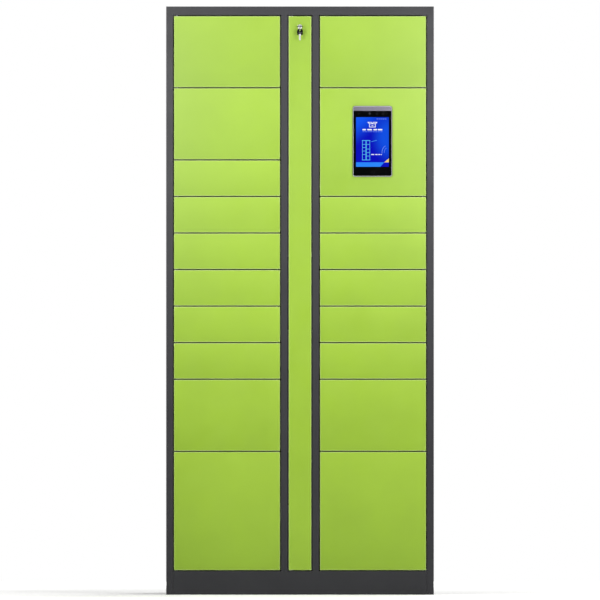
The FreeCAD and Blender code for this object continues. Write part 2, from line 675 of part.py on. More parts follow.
def latch(side, row):
    """The lock's bolt, let down below the strike; it rises into the strike's notch to lock the door."""
    low, high = ROWS[side][row]
    middle = f"({low} + {high}) / 2"
    name = f"latch_{side}_{row + 1:02d}"
    across = mirrored(side, f"{CHANNEL_WALL} + {BOLT_X}", f"{CHANNEL_WALL} + {BOLT_X} + bolt_thickness")
    start = f"{FRONT} + {LOCK_SETBACK} + {BOLT_Y}"
    sub_part(name, block(name + "_bolt", across, (start, f"{start} + {BOLT_LENGTH}"),
                         (f"{middle} - {BOLT_TOP} - bolt_height", f"{middle} - {BOLT_TOP}")))


# ---------------------------------------------------------------- service cover and key lock

def service_cover():
    """The narrow full-height cover of the channel, hinged on its left, with a hole for the key lock."""
    height = f"({DOOR_TOP} - {DOOR_BOTTOM})"
    cover = folded_pan("cover_pan", "left", COVER_EDGE, DOOR_BOTTOM, "cover_width", height)
    hole = circles(cover, "XZ_Plane", [(f"-{COVER_EDGE}", f"{KEY_Z} - {DOOR_BOTTOM}")],
                   f"{BARREL_RADIUS} + barrel_clearance")
    pocket(cover, hole, "door_sheet")
    sub_part("service_cover", cover)


def revolved(name, profile):
    """A body turned about the key lock's axis, from a profile of (distance behind the face, radius)."""
    body = new_body(name, "0", FRONT, KEY_Z)
    sketch = outline(body, "YZ_Plane", profile)
    feature = body.newObject("PartDesign::Revolution", name + "_turn")
    feature.Profile = sketch
    feature.ReferenceAxis = (sketch, ["H_Axis"])
    feature.Angle = 360
    doc.recompute()
    return body


def key_lock_barrel():
    """The fixed body of the key lock, with its front collar, and the nut that clamps it to the cover."""
    bore = "plug_radius + plug_clearance"
    collar = f"({BARREL_RADIUS} + bezel_lip)"
    barrel = revolved("key_barrel", [
        ("-bezel_height", bore), ("-bezel_height", f"{collar} - bezel_edge"),
        ("bezel_edge - bezel_height", collar), ("0", collar), ("0", BARREL_RADIUS),
        (BARREL_LENGTH, BARREL_RADIUS), (BARREL_LENGTH, bore),
    ])
    seat = f"{FRONT} + door_sheet"
    nut = hexagon("key_nut", "y", "0", seat, KEY_Z, f"{BARREL_RADIUS} + nut_flange", "nut_thickness")
    hole = rod("key_nut_hole", "y", "0", seat, KEY_Z, BARREL_RADIUS, "nut_thickness")
    sub_part("key_lock_barrel", barrel, cut("key_nut_bored", nut, hole))


def key_lock_plug():
    """The turning plug with its keyway, and the cam on its tail, which hangs down when unlocked."""
    plug = revolved("key_plug", [
        ("-bezel_height", "0"), ("-bezel_height", "plug_radius"), (BARREL_LENGTH, "plug_radius"),
        (BARREL_LENGTH, "tail_radius"), (f"{BARREL_LENGTH} + tail_length", "tail_radius"),
        (f"{BARREL_LENGTH} + tail_length", "0"),
    ])
    keyway = rectangle(("-(blade_width / 2 + blade_clearance)", "blade_width / 2 + blade_clearance"),
                       ("-(blade_thickness / 2 + blade_clearance)", "blade_thickness / 2 + blade_clearance"))
    depth = "blade_depth + bezel_height + blade_clearance"
    pocket(plug, outline(plug, "XZ_Plane", keyway, lift="bezel_height"), depth)
    front = f"{FRONT} + {BARREL_LENGTH} + cam_gap"
    arm = block("cam_arm", ("-cam_width / 2", "cam_width / 2"), (front, f"{front} + cam_thickness"),
                (f"{KEY_Z} - {CAM_REACH}", KEY_Z))
    end = rod("cam_end", "y", "0", front, KEY_Z, "cam_width / 2", "cam_thickness")
    hole = rod("cam_hole", "y", "0", front, KEY_Z, "tail_radius", "cam_thickness")
    sub_part("key_lock_plug", plug, cut("cam", fuse("cam_blank", arm, end), hole))


def service_key():
    """The key in the lock, its blade level, and the key ring through the hole of its rounded bow."""
    blade = block("service_blade", ("-blade_width / 2", "blade_width / 2"),
                  (BOW_BACK, f"{FRONT} + blade_depth"),
                  (f"{KEY_Z} - blade_thickness / 2", f"{KEY_Z} + blade_thickness / 2"))
    bow = new_body("service_bow", "0", BOW_FRONT, f"{KEY_Z} - bow_thickness / 2")
    shape = rectangle(("-bow_width / 2", "bow_width / 2"), ("0", "bow_length"))
    pad(bow, outline(bow, "XY_Plane", shape), "bow_thickness")
    fillet(bow, "bow_web", runs_along(Vector(0, 0, 1)))
    hole = rectangle(("-bow_hole_width / 2", "bow_hole_width / 2"), ("bow_web", "bow_web + bow_hole_length"))
    pocket(bow, outline(bow, "XY_Plane", hole), "bow_thickness", backwards=True)
    ring = doc.addObject("Part::Torus", "key_ring")
    ring.setExpression("Radius1", sized("ring_radius"))
    ring.setExpression("Radius2", sized("ring_wire"))
    placed(ring, "x", "0", RING_Y, f"{RING_TOP} - ring_radius")
    sub_part("service_key", blade, bow, ring)


def spare_key():
    """The spare key, which hangs from the key ring by the round hole in its bow."""
    bow_middle = f"({SPARE_HOLE_TOP} + spare_web - spare_bow_radius)"
    foot = f"({bow_middle} - spare_bow_radius)"
    back = f"{RING_Y} - bow_thickness / 2"
    bow = rod("spare_bow", "y", "0", back, bow_middle, "spare_bow_radius", "bow_thickness")
    hole = rod("spare_hole", "y", "0", back, f"{SPARE_HOLE_TOP} - spare_hole_radius", "spare_hole_radius",
               "bow_thickness")
    blade = block("spare_blade", ("-blade_width / 2", "blade_width / 2"),
                  (f"{RING_Y} - blade_thickness / 2", f"{RING_Y} + blade_thickness / 2"),
                  (f"{foot} - spare_blade_length", f"{foot} + spare_blade_root"))
    sub_part("spare_key", fuse("spare_body", cut("spare_bow_holed", bow, hole), blade))


# ---------------------------------------------------------------- terminal and electronics

def terminal():
    """The operator terminal in its door: a framed case, and the glass let into its front."""
    low, high = ROWS[TERMINAL_DOOR[0]][TERMINAL_DOOR[1]]
    x = f"{DOOR_EDGE} + {DOOR_WIDTH} / 2 - terminal_shift"
    z = f"({low} + {high}) / 2 + terminal_rise"

    def half(size, less="0"):
        return f"-(terminal_{size} / 2 - {less})", f"terminal_{size} / 2 - {less}"

    case = new_body("terminal_body", x, f"{FRONT} - terminal_proud", z)
    front = outline(case, "XZ_Plane", rectangle(half("width"), half("height")))
    pad(case, front, "terminal_proud", backwards=True)
    fillet(case, "terminal_corner", runs_along(Vector(0, 1, 0)))
    rear = rectangle(half("width", "terminal_flange"), half("height", "terminal_flange"))
    pad(case, outline(case, "XZ_Plane", rear, lift="-terminal_proud"), "terminal_depth", backwards=True)
    window = rectangle(half("width", "terminal_rim"),
                       (half("height", "terminal_rim")[0], half("height", "terminal_band")[1]))
    pocket(case, outline(case, "XZ_Plane", window), "glass_thickness")
    sub_part("terminal_case", case)

    glass = new_body("glass_body", x, f"{FRONT} - terminal_proud", z)
    pad(glass, outline(glass, "XZ_Plane", window), "glass_thickness", backwards=True)
    sub_part("terminal_glass", glass)


def control_electronics():
    """The power supply on the channel's left wall, and the lock controller on the back panel."""
    left = f"-({CHANNEL_WALL} - sheet)"
    bottom = "kick_height + supply_bottom"
    supply = block("power_supply", (left, f"{left} + supply_width"),
                   (f"{BACK_INNER} - supply_depth", BACK_INNER), (bottom, f"{bottom} + supply_height"))
    bottom = "kick_height + controller_bottom"
    controller = block("lock_controller", ("-controller_width / 2", "controller_width / 2"),
                       (f"{BACK_INNER} - controller_depth", BACK_INNER),
                       (bottom, f"{bottom} + controller_height"))
    sub_part("control_electronics", supply, controller)


# ---------------------------------------------------------------- assembly

def cabinet():
    """Everything that stands still."""
    for side in SIDES:
        side_panel(side)
        channel_wall(side)
    top_panel()
    base_panel()
    back_panel()
    kick_plate()
    sub_part("plinth_rails", *[plinth_rail(side) for side in SIDES])
    feet = [levelling_foot(side, end) for side in SIDES for end in (-1, 1)]
    sub_part("levelling_feet", *[piece for foot in feet for piece in foot])
    shelves = []
    for side in SIDES:
        for row, height in enumerate(seams(side)[:-1], start=1):
            shelves += shelf(side, row, height)
    sub_part("compartment_shelves", *shelves)
    control_electronics()


def hinges():
    """The ears and pins of every door and of the service cover."""
    pairs = []
    rail_seam = f"({DOOR_TOP} + gap / 2)"
    plinth_seam = "(kick_height + gap / 2)"
    for side, sign in SIDES.items():
        wall_x = f"{sign} * {STILE_EDGE}"
        axis_x = f"{sign} * ({STILE_EDGE} - gap - {HINGE_INSET})"
        heights = [rail_seam] + seams(side)
        for index, height in enumerate(heights):
            down = 0 if index == len(heights) - 1 else 1
            up = 0 if index == 0 else 1
            pairs.append(hinge(f"hinge_{side}_{index:02d}", wall_x, axis_x, height, down, up))
    cover_axis = f"-({COVER_EDGE} - {HINGE_INSET})"
    pairs.append(hinge("hinge_cover_top", f"-{MULLION_EDGE}", cover_axis, rail_seam, 1, 0))
    pairs.append(hinge("hinge_cover_bottom", f"-{MULLION_EDGE}", cover_axis, plinth_seam, 0, 1))
    sub_part("hinge_brackets", *[ear for ear, _ in pairs])
    sub_part("hinge_pins", *[pin for _, pin in pairs])


def doors_and_locks():
    """Every door with its strike, its lock housing and its bolt."""
    housings = []
    for side, rows in ROWS.items():
        for row in range(len(rows)):
            door(side, row)
            latch(side, row)
            housings.append(lock_housing(side, row))
    sub_part("lock_housings", *housings)


def check_document():
    """Stop if any object failed or any sub-part is not a valid shape."""
    for item in doc.Objects:
        if "Invalid" in item.State or "Error" in item.State:
            raise RuntimeError(f"{item.Name} failed: {item.State}")
    for part in sub_parts:
        if part.Shape.isNull() or not part.Shape.isValid():
            raise RuntimeError(f"{part.Label} is not a valid shape")


def write_parts():
    """Write each sub-part to its own STEP file."""
    os.makedirs("parts", exist_ok=True)
    for part in sub_parts:
        part.Shape.exportStep(f"parts/{part.Label}.step")
        print(f"{part.Label}: {len(part.Shape.Solids)} solids, {part.Shape.Volume / 1000:.1f} cm3")


fill_sheet()
cabinet()
hinges()
doors_and_locks()
service_cover()
key_lock_barrel()
key_lock_plug()
service_key()
spare_key()
terminal()
doc.recompute()
check_document()
write_parts()
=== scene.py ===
"""Looks of the parcel locker: finishes for its sheet metal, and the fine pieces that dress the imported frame.

Lengths are in metres in the row frame: +Z up, +X to the right, and the doors face -Y.
"""
import json
import logging
import math
from dataclasses import dataclass
from enum import Enum

import bmesh
import bpy
from mathutils import Matrix, Vector

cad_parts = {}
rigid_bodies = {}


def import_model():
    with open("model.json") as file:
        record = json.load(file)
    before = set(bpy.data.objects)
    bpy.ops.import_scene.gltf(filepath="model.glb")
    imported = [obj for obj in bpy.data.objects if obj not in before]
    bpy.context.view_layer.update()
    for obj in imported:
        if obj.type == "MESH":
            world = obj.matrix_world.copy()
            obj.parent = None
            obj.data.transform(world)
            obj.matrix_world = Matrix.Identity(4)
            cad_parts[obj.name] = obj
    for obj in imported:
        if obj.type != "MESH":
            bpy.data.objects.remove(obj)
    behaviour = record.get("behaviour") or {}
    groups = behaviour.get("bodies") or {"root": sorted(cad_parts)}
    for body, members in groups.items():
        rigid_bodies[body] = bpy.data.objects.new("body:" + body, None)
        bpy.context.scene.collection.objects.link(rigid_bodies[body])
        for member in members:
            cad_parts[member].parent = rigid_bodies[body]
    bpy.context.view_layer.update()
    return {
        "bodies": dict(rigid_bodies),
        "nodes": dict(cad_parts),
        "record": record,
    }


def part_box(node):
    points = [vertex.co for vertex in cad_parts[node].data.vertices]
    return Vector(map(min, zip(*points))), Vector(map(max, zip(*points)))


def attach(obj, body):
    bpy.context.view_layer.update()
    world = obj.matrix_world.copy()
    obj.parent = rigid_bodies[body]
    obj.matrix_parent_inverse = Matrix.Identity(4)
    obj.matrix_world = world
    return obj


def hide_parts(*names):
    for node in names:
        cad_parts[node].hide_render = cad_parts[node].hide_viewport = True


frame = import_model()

MM = 0.001
SMOOTH_UP_TO = math.radians(50)      # faces that meet at less than this are shaded as one
CUT_EDGE_FROM = math.radians(40)     # edges that turn by more than this are broken by a fine round

Point = tuple[float, float]
Outline = list[Point]
Shape = bmesh.types.BMesh
Tree = bpy.types.NodeTree
Node = bpy.types.Node
Socket = bpy.types.NodeSocket
log = logging.getLogger("parcel_locker")


# ---------------------------------------------------------------- nodes and colours

def linear(colour: str) -> tuple[float, float, float, float]:
    """Turn an sRGB hex colour into linear light.

    Args:
        colour: six hex digits, such as "A8CF4F".

    Returns:
        Red, green, blue and an alpha of 1.
    """
    def channel(value: float) -> float:
        """Turn one sRGB channel into linear light."""
        return value / 12.92 if value <= 0.04045 else ((value + 0.055) / 1.055) ** 2.4
    return (*(channel(int(colour[at:at + 2], 16) / 255) for at in (0, 2, 4)), 1.0)


def add_node(tree: Tree, kind: str, inputs: dict | None = None, **settings: object) -> Node:
    """Add a node with its settings, plain values and links.

    Args:
        tree: the node tree to add to.
        kind: the node's type.
        inputs: a value or another node's output for each input, by name or number.
        settings: the node's own properties.

    Returns:
        The new node.
    """
    node = tree.nodes.new(kind)
    for name, value in settings.items():
        setattr(node, name, value)
    for socket, value in (inputs or {}).items():
        if isinstance(value, Socket):
            tree.links.new(value, node.inputs[socket])
        else:
            node.inputs[socket].default_value = value
    return node


# The mix node has one set of sockets for each kind of data; these are the ones for colours.
MIX_FACTOR, MIX_A, MIX_B, MIX_RESULT = 0, 6, 7, 2


@dataclass(frozen=True)
class Finish:
    """A surface: what it is made of and how it was made.

    Its colour and smoothness are the same all over; subclasses add the detail that the real surface shows.
    """

    name: str
    colour: str
    roughness: float
    metallic: float = 0.0
    ior: float = 1.5
    coat: float = 0.0

    def material(self) -> bpy.types.Material:
        """Return this finish as a Blender material, made on first use.

        Returns:
            The material.
        """
        made = bpy.data.materials.get(self.name)
        if made:
            return made
        made = bpy.data.materials.new(self.name)
        made.use_nodes = True
        tree = made.node_tree
        shader = tree.nodes["Principled BSDF"]
        shader.inputs["Base Color"].default_value = linear(self.colour)
        shader.inputs["Roughness"].default_value = self.roughness
        shader.inputs["Metallic"].default_value = self.metallic
        shader.inputs["Coat Weight"].default_value = self.coat
        if not self.metallic:
            shader.inputs["IOR"].default_value = self.ior
        place = add_node(tree, "ShaderNodeTexCoord")
        self.detail(tree, shader, place)
        return made

    def detail(self, tree: Tree, shader: Node, place: Node) -> None:
        """Add the pattern of this surface: here faint handling marks that vary the gloss."""
        self.vary_gloss(tree, shader, place, size_mm=35.0, amount=0.05)

    def vary_gloss(self, tree: Tree, shader: Node, place: Node, size_mm: float, amount: float) -> None:
        """Let the roughness drift over the surface.

        Args:
            tree: the material's nodes.
            shader: its Principled shader.
            place: its texture coordinates.
            size_mm: the size of a patch.
            amount: how far the roughness moves each way.
        """
        clouds = add_node(tree, "ShaderNodeTexNoise", {"Vector": place.outputs["Object"],
                                                       "Scale": 1 / (size_mm * MM), "Detail": 3.0})
        drift = add_node(tree, "ShaderNodeMapRange", {"Value": clouds.outputs["Fac"], "From Min": 0.3,
                                                      "From Max": 0.7, "To Min": self.roughness - amount,
                                                      "To Max": self.roughness + amount})
        tree.links.new(drift.outputs["Result"], shader.inputs["Roughness"])

    def grain(self, tree: Tree, shader: Node, place: Node, size_mm: float, depth_mm: float,
              strength: float) -> None:
        """Give the surface an even grain in relief.

        Args:
            tree: the material's nodes.
            shader: its Principled shader.
            place: its texture coordinates.
            size_mm: the size of a grain.
            depth_mm: its depth.
            strength: how much of it shows.
        """
        noise = add_node(tree, "ShaderNodeTexNoise", {"Vector": place.outputs["Object"],
                                                      "Scale": 1 / (size_mm * MM), "Detail": 2.0})
        bump = add_node(tree, "ShaderNodeBump", {"Height": noise.outputs["Fac"], "Distance": depth_mm * MM,
                                                 "Strength": strength})
        tree.links.new(bump.outputs["Normal"], shader.inputs["Normal"])

    @staticmethod
    def cloudy(tree: Tree, place: Node, colour: object, size: float, detail: float,
               span: tuple[float, float]) -> Socket:
        """Return a colour whose brightness drifts over the surface.

        Args:
            tree: the material's nodes.
            place: its texture coordinates.
            colour: the colour, as a value or another node's output.
            size: the size of a cloud in metres.
            detail: how ragged the clouds are.
            span: the least and the greatest brightness.

        Returns:
            The drifting colour.
        """
        clouds = add_node(tree, "ShaderNodeTexNoise", {"Vector": place.outputs["Object"], "Scale": 1 / size,
                                                       "Detail": detail})
        light = add_node(tree, "ShaderNodeMapRange", {"Value": clouds.outputs["Fac"], "From Min": 0.3,
                                                      "From Max": 0.7, "To Min": span[0],
                                                      "To Max": span[1]})
        return add_node(tree, "ShaderNodeHueSaturation",
                        {"Color": colour, "Value": light.outputs["Result"]}).outputs["Color"]


@dataclass(frozen=True)
class PowderCoat(Finish):
    """Polyester powder coat, sprayed and baked on steel sheet.

    The melt leaves a slight orange peel. A paler line where a fold starts is a painted highlight, the darker
    turn of the fold is painted shade, and each panel is painted lighter at its upper right and darker at its
    foot, with a little random drift of tone.
    """

    # painted highlight: the pale line where each fold starts
    painted_highlight_colour: str = "C8F080"
    # painted shade: the darker turn of each fold, down in the gap between panels
    painted_fold_shade_colour: str = "1E3206"
    # painted shade: the colour at the foot of each panel, which is painted darker than its upper right
    painted_shade_colour: str = "A0C850"
    peel_mm: float = 5.0       # real peel is 1 to 3 mm across, drawn coarser so that it shows
    peel_depth_mm: float = 0.03
    drift_mm: float = 160.0
    drift: float = 0.04

    def detail(self, tree: Tree, shader: Node, place: Node) -> None:
        """Add the painted light and shade over each panel, its random drift, the painted highlight and shade
        on the folds, and the orange peel.

        Args:
            tree: the material's nodes.
            shader: its Principled shader.
            place: its texture coordinates.
        """
        # Painted light and shade: each panel lighter towards its upper right and darker towards its foot.
        rise = add_node(tree, "ShaderNodeVectorMath", {0: place.outputs["Generated"], 1: (0.22, 0.0, 0.78)},
                        operation="DOT_PRODUCT")
        painted_shading = add_node(tree, "ShaderNodeMix", {MIX_FACTOR: rise.outputs["Value"],
                                                 MIX_A: linear(self.painted_shade_colour),
                                                 MIX_B: linear(self.colour)}, data_type="RGBA")
        drifted = self.cloudy(tree, place, painted_shading.outputs[MIX_RESULT], self.drift_mm * MM, 4.0,
                              (1 - self.drift, 1 + self.drift))
        # Painted highlight: a pale line where each fold starts.
        start = self.fold_mask(tree, place, 0.998, 0.96)
        pale = add_node(tree, "ShaderNodeMix", {MIX_FACTOR: start, MIX_A: drifted,
                                                MIX_B: linear(self.painted_highlight_colour)}, data_type="RGBA")
        # Painted shade: darker on the turn of each fold, down in the gap between panels.
        turn = self.fold_mask(tree, place, 0.93, 0.84)
        colour = add_node(tree, "ShaderNodeMix", {MIX_FACTOR: turn, MIX_A: pale.outputs[MIX_RESULT],
                                                  MIX_B: linear(self.painted_fold_shade_colour)}, data_type="RGBA")
        tree.links.new(colour.outputs[MIX_RESULT], shader.inputs["Base Color"])
        self.grain(tree, shader, place, self.peel_mm, self.peel_depth_mm, 0.5)
        self.vary_gloss(tree, shader, place, size_mm=60.0, amount=0.04)

    @staticmethod
    def fold_mask(tree: Tree, place: Node, start: float,
                  full: float) -> Socket:
        """Return a mask of the rounded folds, from how far the normal is from every axis.

        Args:
            tree: the material's nodes.
            place: its texture coordinates.
            start: the cosine of the turn away from the nearest axis at which the mask begins.
            full: the cosine at which it is at its strongest.

        Returns:
            0 on flat faces and 0.9 where the turn is greatest.
        """
        length = add_node(tree, "ShaderNodeVectorMath", {0: place.outputs["Normal"]}, operation="ABSOLUTE")
        axes = add_node(tree, "ShaderNodeSeparateXYZ", {"Vector": length.outputs[0]})
        pair = add_node(tree, "ShaderNodeMath", {0: axes.outputs["X"], 1: axes.outputs["Y"]},
                        operation="MAXIMUM")
        most = add_node(tree, "ShaderNodeMath", {0: pair.outputs[0], 1: axes.outputs["Z"]},
                        operation="MAXIMUM")
        turned = add_node(tree, "ShaderNodeMapRange", {"Value": most.outputs[0], "From Min": start,
                                                       "From Max": full, "To Min": 0.0, "To Max": 0.9})
        return turned.outputs["Result"]


@dataclass(frozen=True)
class TexturedCoat(Finish):
    """Fine-textured powder coat: a sandy matt skin that scatters the light and hides fingerprints."""

    grain_mm: float = 2.2      # real grain is about 0.5 mm, drawn coarser so that it shows
    grain_depth_mm: float = 0.05

    def detail(self, tree: Tree, shader: Node, place: Node) -> None:
        """Add the sandy grain, and a slight drift of tone.

        Args:
            tree: the material's nodes.
            shader: its Principled shader.
            place: its texture coordinates.
        """
        self.grain(tree, shader, place, self.grain_mm, self.grain_depth_mm, 0.6)
        drifted = self.cloudy(tree, place, linear(self.colour), 0.2, 3.0, (0.93, 1.07))
        tree.links.new(drifted, shader.inputs["Base Color"])
        self.vary_gloss(tree, shader, place, size_mm=80.0, amount=0.05)


@dataclass(frozen=True)
class GalvanisedSheet(Finish):
    """Hot-dip galvanised steel sheet: crystals of zinc a centimetre or so across, each with its own grey."""

    spangle_mm: float = 14.0

    def detail(self, tree: Tree, shader: Node, place: Node) -> None:
        """Add the spangle to the colour and the gloss.

        Args:
            tree: the material's nodes.
            shader: its Principled shader.
            place: its texture coordinates.
        """
        crystals = add_node(tree, "ShaderNodeTexVoronoi", {"Vector": place.outputs["Object"],
                                                           "Scale": 1 / (self.spangle_mm * MM),
                                                           "Randomness": 1.0})
        tint = add_node(tree, "ShaderNodeSeparateColor", {"Color": crystals.outputs["Color"]})
        light = add_node(tree, "ShaderNodeMapRange", {"Value": tint.outputs["Red"], "To Min": 0.9,
                                                      "To Max": 1.05})
        colour = add_node(tree, "ShaderNodeHueSaturation", {"Color": linear(self.colour),
                                                            "Value": light.outputs["Result"]})
        tree.links.new(colour.outputs["Color"], shader.inputs["Base Color"])
        gloss = add_node(tree, "ShaderNodeMapRange", {"Value": tint.outputs["Green"],
                                                      "To Min": self.roughness - 0.05,
                                                      "To Max": self.roughness + 0.05})
        tree.links.new(gloss.outputs["Result"], shader.inputs["Roughness"])


@dataclass(frozen=True)
class BrushedMetal(Finish):
    """Metal finished with an abrasive belt: fine parallel lines that stretch each highlight."""

    line_mm: float = 0.4
    along: tuple[float, float, float] = (0.02, 1.0, 1.0)

    def detail(self, tree: Tree, shader: Node, place: Node) -> None:
        """Add the brushed lines to the gloss and the relief.

        Args:
            tree: the material's nodes.
            shader: its Principled shader.
            place: its texture coordinates.
        """
        stretched = add_node(tree, "ShaderNodeVectorMath", {0: place.outputs["Object"], 1: self.along},
                             operation="MULTIPLY")
        lines = add_node(tree, "ShaderNodeTexNoise", {"Vector": stretched.outputs[0],
                                                      "Scale": 1 / (self.line_mm * MM), "Detail": 2.0})
        gloss = add_node(tree, "ShaderNodeMapRange", {"Value": lines.outputs["Fac"], "From Min": 0.3,
                                                      "From Max": 0.7, "To Min": self.roughness - 0.08,
                                                      "To Max": self.roughness + 0.08})
        tree.links.new(gloss.outputs["Result"], shader.inputs["Roughness"])
        bump = add_node(tree, "ShaderNodeBump", {"Height": lines.outputs["Fac"], "Distance": 0.01 * MM,
                                                 "Strength": 0.3})
        tree.links.new(bump.outputs["Normal"], shader.inputs["Normal"])


@dataclass(frozen=True)
class MouldedPlastic(Finish):
    """Injection-moulded plastic with the fine spark-eroded texture of its mould."""

    grain_mm: float = 0.6
    grain_depth_mm: float = 0.02

    def detail(self, tree: Tree, shader: Node, place: Node) -> None:
        """Add the mould's grain."""
        self.grain(tree, shader, place, self.grain_mm, self.grain_depth_mm, 0.4)
        self.vary_gloss(tree, shader, place, size_mm=20.0, amount=0.05)


@dataclass(frozen=True)
class LitDisplay(Finish):
    """A lit panel behind bonded glass: its colour runs between azure and deep blue, under a clear gloss."""

    upper: str = "0E5AF8"
    deep: str = "0208BE"
    right: str = "0C54EA"
    glow: float = 1.0

    def detail(self, tree: Tree, shader: Node, place: Node) -> None:
        """Add the run of colour, as light: azure at the upper left and on the right, deep blue between.

        Args:
            tree: the material's nodes.
            shader: its Principled shader.
            place: its texture coordinates.
        """
        corner = add_node(tree, "ShaderNodeVectorMath", {0: place.outputs["Generated"], 1: (-0.55, 0.0, 1.0)},
                          operation="DOT_PRODUCT")
        upper = add_node(tree, "ShaderNodeMapRange", {"Value": corner.outputs["Value"], "From Min": 0.35,
                                                      "From Max": 0.95, "To Min": 0.0, "To Max": 1.0},
                         interpolation_type="SMOOTHSTEP")
        spot = add_node(tree, "ShaderNodeVectorMath", {0: place.outputs["Generated"], 1: (1.0, 0.0, 0.6)},
                        operation="DISTANCE")
        side = add_node(tree, "ShaderNodeMapRange", {"Value": spot.outputs["Value"], "From Min": 0.15,
                                                     "From Max": 0.6, "To Min": 0.9, "To Max": 0.0},
                        interpolation_type="SMOOTHSTEP")
        left = add_node(tree, "ShaderNodeMix", {MIX_FACTOR: upper.outputs["Result"], MIX_A: linear(self.deep),
                                                MIX_B: linear(self.upper)}, data_type="RGBA")
        run = add_node(tree, "ShaderNodeMix", {MIX_FACTOR: side.outputs["Result"],
                                               MIX_A: left.outputs[MIX_RESULT],
                                               MIX_B: linear(self.right)}, data_type="RGBA")
        tree.links.new(run.outputs[MIX_RESULT], shader.inputs["Emission Color"])
        shader.inputs["Emission Strength"].default_value = self.glow


@dataclass(frozen=True)
class LitGraphic(Finish):
    """A plain lit shape: it gives its own colour as light, over a ground that may be dark."""

    glow: float = 1.0
    ground: str = "020204"

    def detail(self, tree: Tree, shader: Node, place: Node) -> None:
        """Light the shape in its own colour, a little unevenly, as a backlight does.

        Args:
            tree: the material's nodes.
            shader: its Principled shader.
            place: its texture coordinates.
        """
        shader.inputs["Base Color"].default_value = linear(self.ground)
        shader.inputs["Emission Strength"].default_value = self.glow
        lit = self.cloudy(tree, place, linear(self.colour), 1 / 60, 1.0, (0.96, 1.0))
        tree.links.new(lit, shader.inputs["Emission Color"])


@dataclass(frozen=True)
class BacklitFloor(Finish):
    """A pale matt sweep, lit from below more and more towards its edge."""

    near_glow: float = 0.2
    far_glow: float = 1.0
    near: float = 0.7          # metres from the middle, clear of the object
    far: float = 2.7           # just inside the floor's edge

    def detail(self, tree: Tree, shader: Node, place: Node) -> None:
        """Raise the light from below with the distance from the middle.

        Args:
            tree: the material's nodes.
            shader: its Principled shader.
            place: its texture coordinates.
        """
        reach = add_node(tree, "ShaderNodeVectorMath", {0: place.outputs["Object"]}, operation="LENGTH")
        glow = add_node(tree, "ShaderNodeMapRange", {"Value": reach.outputs["Value"], "From Min": self.near,
                                                     "From Max": self.far, "To Min": self.near_glow,
                                                     "To Max": self.far_glow},
                        interpolation_type="SMOOTHSTEP")
        shader.inputs["Emission Color"].default_value = (1, 1, 1, 1)
        tree.links.new(glow.outputs["Result"], shader.inputs["Emission Strength"])


